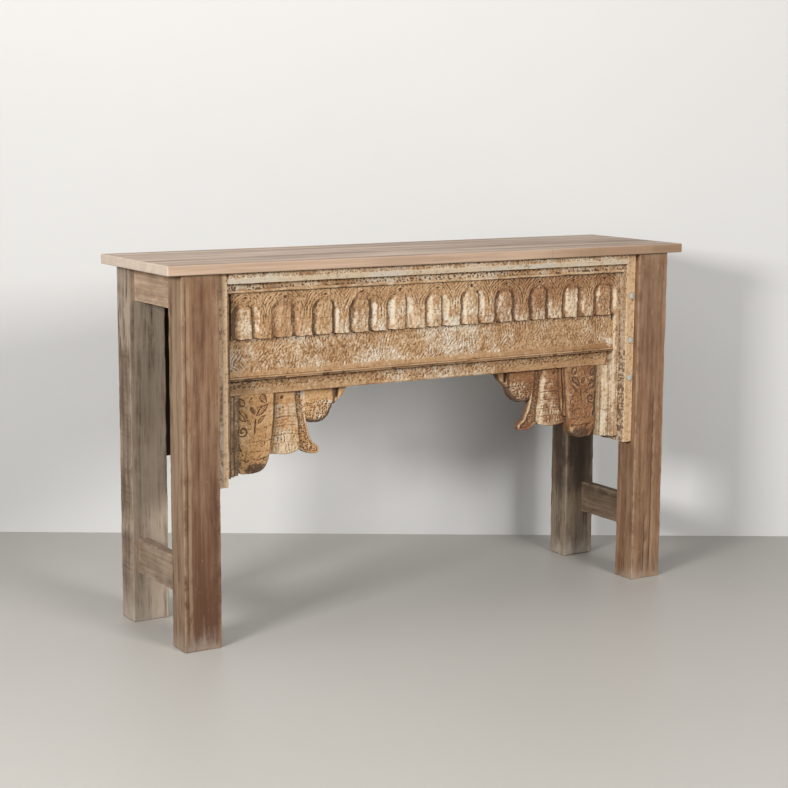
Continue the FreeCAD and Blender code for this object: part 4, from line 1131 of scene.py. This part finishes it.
# %% [markdown]
# The stiles close the carving at each end. Their inner edges are punched like the cornice, and low
# down on the right one worms have left winding tracks. The right stile has a plain rubbed face with
# old nails in it, the left one a dark pitted face with a pale arris. They are boards, so they are
# timber blocks with the punch marks and tracks as dents, which keeps their corners true.

# %% Old planed board
DUN, SOOTED, LIMED = (0.36, 0.26, 0.165), (0.14, 0.08, 0.042), (0.66, 0.6, 0.5)
INNER_PALE, PALE_ARRIS = (0.68, 0.6, 0.48), (0.84, 0.62, 0.39)
BROWN_SPOT, PUNCH_DIRT = (0.2, 0.115, 0.06), (0.17, 0.095, 0.047)
NAIL_STAIN, NAIL_BLOOM = (0.17, 0.11, 0.06), (0.6, 0.66, 0.58)
NAIL_ACROSS, NAIL_FRONT, NAIL_HEIGHTS = 0.564, -0.156, (0.723, 0.613, 0.519)


def stile_finish(name, shift, honey, tan, brown, bloom):
    f = Finish(name)
    fibre = f.noise((150.0, 150.0, 8.0), 5.0, 0.62, shift)
    patch = f.noise((26.0, 26.0, 13.0), 4.0, 0.6, shift + 3)
    mottle = f.noise((105.0, 105.0, 105.0), 4.0, 0.7, shift + 5)
    x, z = f.axis(0), f.axis(2)
    colour = f.mix(honey, tan, f.band(fibre * 0.5 + mottle * 0.5, 0.42, 0.58))
    if brown:
        outside = f.band(x + (patch - 0.5) * 0.012, -0.557, -0.563)
        colour = f.mix(colour, DUN, outside * 0.6)
        colour = f.mix(colour, SOOTED, outside * f.band(patch * 0.6 + mottle * 0.4, 0.44, 0.56) * brown)
        lower = f.band(z + (patch - 0.5) * 0.5, 0.62, 0.5)
        colour = f.mix(colour, LIMED, outside * lower * f.band(mottle, 0.42, 0.6) * 0.7)
    inner = f.band(f.node("SeparateXYZ", {}, {0: f.node("NewGeometry", out="True Normal")}), -0.6, -0.9)
    colour = f.mix(colour, INNER_PALE, inner * f.band(patch * 0.5 + mottle * 0.5, 0.4, 0.6) * 0.8)
    colour = f.mix(colour, PALE_ARRIS, f.field("proud") * 0.7)
    colour = f.mix(colour, BROWN_SPOT, f.band(mottle, 0.46, 0.34) * 0.7)
    dirt = f.band(f.field("hollow") + (mottle - 0.5) * 0.6, 0.2, 0.75)
    colour = f.mix(colour, PUNCH_DIRT, dirt * 0.8)
    for height in NAIL_HEIGHTS if bloom else ():
        ends = {0: f.place, 1: (NAIL_ACROSS, NAIL_FRONT, height)}
        ring = f.node("VectorMath", {"operation": "DISTANCE"}, ends, out="Value") + (mottle - 0.5) * 0.01
        colour = f.mix(colour, NAIL_STAIN, f.band(ring, 0.0105, 0.007) * 0.6)
        colour = f.mix(colour, NAIL_BLOOM, f.band(ring, 0.0085, 0.005) * 0.8)
    return f.finish(colour, 0.6 + fibre * 0.3, fibre * 0.5 + mottle * 0.5, 0.6, 0.0015)


STILES = {
    "left": stile_finish("stile_left", 110.0, (0.6, 0.38, 0.2), (0.72, 0.5, 0.3), 0.85, False),
    "right": stile_finish("stile_right", 120.0, (0.55, 0.33, 0.16), (0.67, 0.455, 0.262), 0.0, True),
}
print("stile finishes", list(STILES))

# %% Stiles
for side, word in ((-1, "left"), (1, "right")):
    def punched(p, way, side=side):
        inner = ramp(-side * way[:, 0], 0.6, 0.95)
        front = ramp(-way[:, 1], 0.6, 0.95) * (ramp(-p[:, 0], 558.0, 562.0) if side < 0 else 1.0)
        tracks = np.abs(noise(p[:, 1], 0.0, p[:, 2], (10.0, 1.0, 8.0), 841))
        wormy = ramp(tracks, 0.36, 0.16) * ramp(p[:, 2], 610.0, 580.0) * (side > 0)
        dots = np.maximum(0.7 * pits(p[:, 1], p[:, 2], 6.4, 3.0, 801 + side, 0.8), wormy)
        holes = pits(p[:, 0], p[:, 2], 14.0, 6.0, 811 + side, 0.5 if side < 0 else 0.03)
        uneven = 0.3 + 0.3 * noise(*p.T, (12.0, 12.0, 70.0), 821 + side)
        return uneven + 1.8 * inner * dots + 1.5 * front * holes

    def rubbed(p, side=side):
        return 1.8 + 1.2 * noise(*p.T, (20.0, 20.0, 26.0), 831 + side)

    node = "stile_" + word
    stile = timber(node + "_board", node, (2.2, 1.8, 1.8), rubbed, punched)
    wear(stile, STILES[word])

# %% [markdown]
# What the front hides is plain: sawn battens, dark old posts and a rail at the back, dowels and
# screws. Some of it shows from behind, and of the old nails only the heads show. New meshes would
# add little here, so the solids are kept as they are and get finishes of their own.

# %% Hidden wood and iron
def plain_wood(name, grain, shift, dark, pale):
    f = Finish(name)
    fibre = f.noise(tuple(8.0 if a == grain else 260.0 for a in range(3)), 4.0, 0.6, shift)
    figure = f.noise(tuple(1.5 if a == grain else 45.0 for a in range(3)), 4.0, 0.6, shift + 2, 0.5)
    colour = f.mix(dark, pale, f.band(figure * 0.6 + fibre * 0.4, 0.3, 0.7))
    return f.finish(colour, 0.7 + fibre * 0.2, fibre, 0.35, 0.0008)


def worn_metal(name, bright, dull, bloom, metal):
    f = Finish(name)
    patch = f.noise((240.0, 240.0, 240.0), 4.0, 0.6, 3.0)
    colour = f.mix(bright, dull, f.band(patch, 0.35, 0.65))
    colour = f.mix(colour, bloom, f.band(patch, 0.5, 0.7) * 0.6)
    f.shader.inputs["Metallic"].default_value = metal
    return f.finish(colour, 0.45 + patch * 0.3, patch, 0.3, 0.0004)


# Each key is a word in the names of the solids that wear the finish.
PLAIN = {
    "back_batten": plain_wood("batten", 2, 130.0, (0.36, 0.24, 0.14), (0.55, 0.41, 0.27)),
    "cross_batten": plain_wood("cross_batten", 1, 133.0, (0.36, 0.24, 0.14), (0.55, 0.41, 0.27)),
    "rear_post": plain_wood("rear_post", 2, 136.0, (0.035, 0.026, 0.02), (0.09, 0.068, 0.05)),
    "rear_rail": plain_wood("rear_rail", 0, 139.0, (0.06, 0.044, 0.032), (0.16, 0.115, 0.08)),
    "leg_dowels": plain_wood("dowel", 2, 142.0, (0.5, 0.36, 0.22), (0.66, 0.52, 0.35)),
    "stile_nails": worn_metal("old_nail", (0.42, 0.44, 0.4), (0.3, 0.3, 0.27), (0.62, 0.68, 0.62), 0.2),
    "screws": worn_metal("screw", (0.6, 0.58, 0.54), (0.4, 0.38, 0.35), (0.45, 0.4, 0.33), 0.9),
}
for key, finish in PLAIN.items():
    solids = [solid for node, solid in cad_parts.items() if key in node]
    for solid in solids:
        wear(solid, finish)
    print(finish.name, "on", len(solids), "solids")

# %% [markdown]
# The studio is a pale floor and a pale backdrop square to the camera. A window lamp on the left
# models the legs, a front lamp opens the carving, and a weak ceiling lamp lifts the top. Sheets as
# large and pale as these would throw back so much light that the shadows vanish, so a Light Path
# node makes them darker for bounced rays than for the camera. The backdrop is see-through from
# behind, and so other views can look at the back of the table.

# %% Floor and backdrop
BOUNCE_SHARE = 0.27


def sheet(name, corners, colour, roughness, one_sided=False):
    """A flat sheet of the studio, faintly cloudy."""
    mesh = bpy.data.meshes.new(name)
    mesh.from_pydata(corners, [], [(0, 1, 2, 3)])
    piece = bpy.data.objects.new(name, mesh)
    bpy.context.scene.collection.objects.link(piece)
    f = Finish(name)
    cloud = f.noise((1.3, 1.3, 1.3), 5.0, 0.6)
    tone = f.mix(tuple(0.97 * c for c in colour), tuple(min(1.0, 1.03 * c) for c in colour), cloud)
    seen = sum(f.node("LightPath", out="Is %s Ray" % ray) for ray in ("Camera", "Glossy", "Transmission"))
    tone = f.mix(tuple(BOUNCE_SHARE * c for c in colour), tone, seen)
    f.finish(tone, roughness, cloud, 0.02)
    if one_sided:
        behind = f.node("NewGeometry", out="Backfacing")
        clear = f.node("BsdfTransparent")
        shown = f.node("MixShader", {}, {0: behind, 1: Shade(f, f.shader.outputs[0]), 2: clear})
        f.feed(f.tree.nodes["Material Output"].inputs["Surface"], shown)
    wear(piece, f.material)


EYE = Vector((-2.2619, -3.6447, 1.1833))
AHEAD, RIGHT = Vector((0.5223, 0.8528, 0.0)), Vector((0.8528, -0.5223, 0.0))
TO_BACKDROP, FLOOR_DEEP, HALF_WIDE, BACKDROP_HIGH = 4.925, 14.0, 9.0, 5.0
FLOOR, WALL = (0.575, 0.55, 0.505), (0.755, 0.74, 0.712)
far = Vector((EYE.x, EYE.y, 0.0)) + AHEAD * TO_BACKDROP
near = far - AHEAD * FLOOR_DEEP
wide, tall = RIGHT * HALF_WIDE, Vector((0, 0, BACKDROP_HIGH))
sheet("floor", [near - wide, near + wide, far + wide, far - wide], FLOOR, 0.45)
sheet("backdrop", [far - wide, far + wide, far + wide + tall, far - wide + tall], WALL, 0.9, True)
print("backdrop", TO_BACKDROP, "m from the camera")

# %% Lamps and sky
def lamp(name, place, target, size, watts):
    data = bpy.data.lights.new(name, "AREA")
    data.shape, data.size, data.size_y, data.energy = "RECTANGLE", size[0], size[1], watts
    light = bpy.data.objects.new(name, data)
    bpy.context.scene.collection.objects.link(light)
    light.location = place
    light.rotation_euler = (Vector(target) - Vector(place)).to_track_quat("-Z", "Y").to_euler()
    print("lamp", name, watts, "W")


lamp("window", (-4.2, -2.0, 1.9), (0.0, 0.0, 0.45), (1.1, 0.8), 146.0)
lamp("front", (0.5, -5.0, 2.2), (0.0, 0.0, 0.45), (1.6, 1.1), 158.0)
lamp("ceiling", (-1.2, -0.2, 3.0), (-1.0, 0.0, 0.0), (2.5, 2.5), 30.0)
world = bpy.data.worlds.new("sky")
bpy.context.scene.world = world
world.use_nodes = True
sky = world.node_tree.nodes["Background"].inputs
sky["Color"].default_value = (0.98, 0.985, 1.0, 1.0)
sky["Strength"].default_value = 0.065
bpy.context.scene.view_settings.view_transform = "Standard"

# %% [markdown]
# The camera looks from the left front and a little above the top. Place, direction and lens were
# solved from the straight edges of the legs and the top, so the direction is set as a matrix and
# not as angles: its three columns are what lies right, up and back for the camera.

# %% Camera
SENSOR, FOCAL_PIXELS, PICTURE_PIXELS = 36.0, 1801.66, 788
eye = bpy.data.objects.new("camera", bpy.data.cameras.new("camera"))
bpy.context.scene.collection.objects.link(eye)
eye.data.sensor_width, eye.data.lens = SENSOR, SENSOR * FOCAL_PIXELS / PICTURE_PIXELS
right, up = Vector((0.85324, -0.52148, 0.0056)), Vector((0.07746, 0.13733, 0.98749))
back = right.cross(up)
eye.matrix_world = Matrix((right, up, back)).transposed().to_4x4()
eye.location = EYE
bpy.context.scene.camera = eye
print("lens", round(eye.data.lens, 1), "mm")

# %% [markdown]
# Wear and carving only ever go inwards from the real size of the solids.
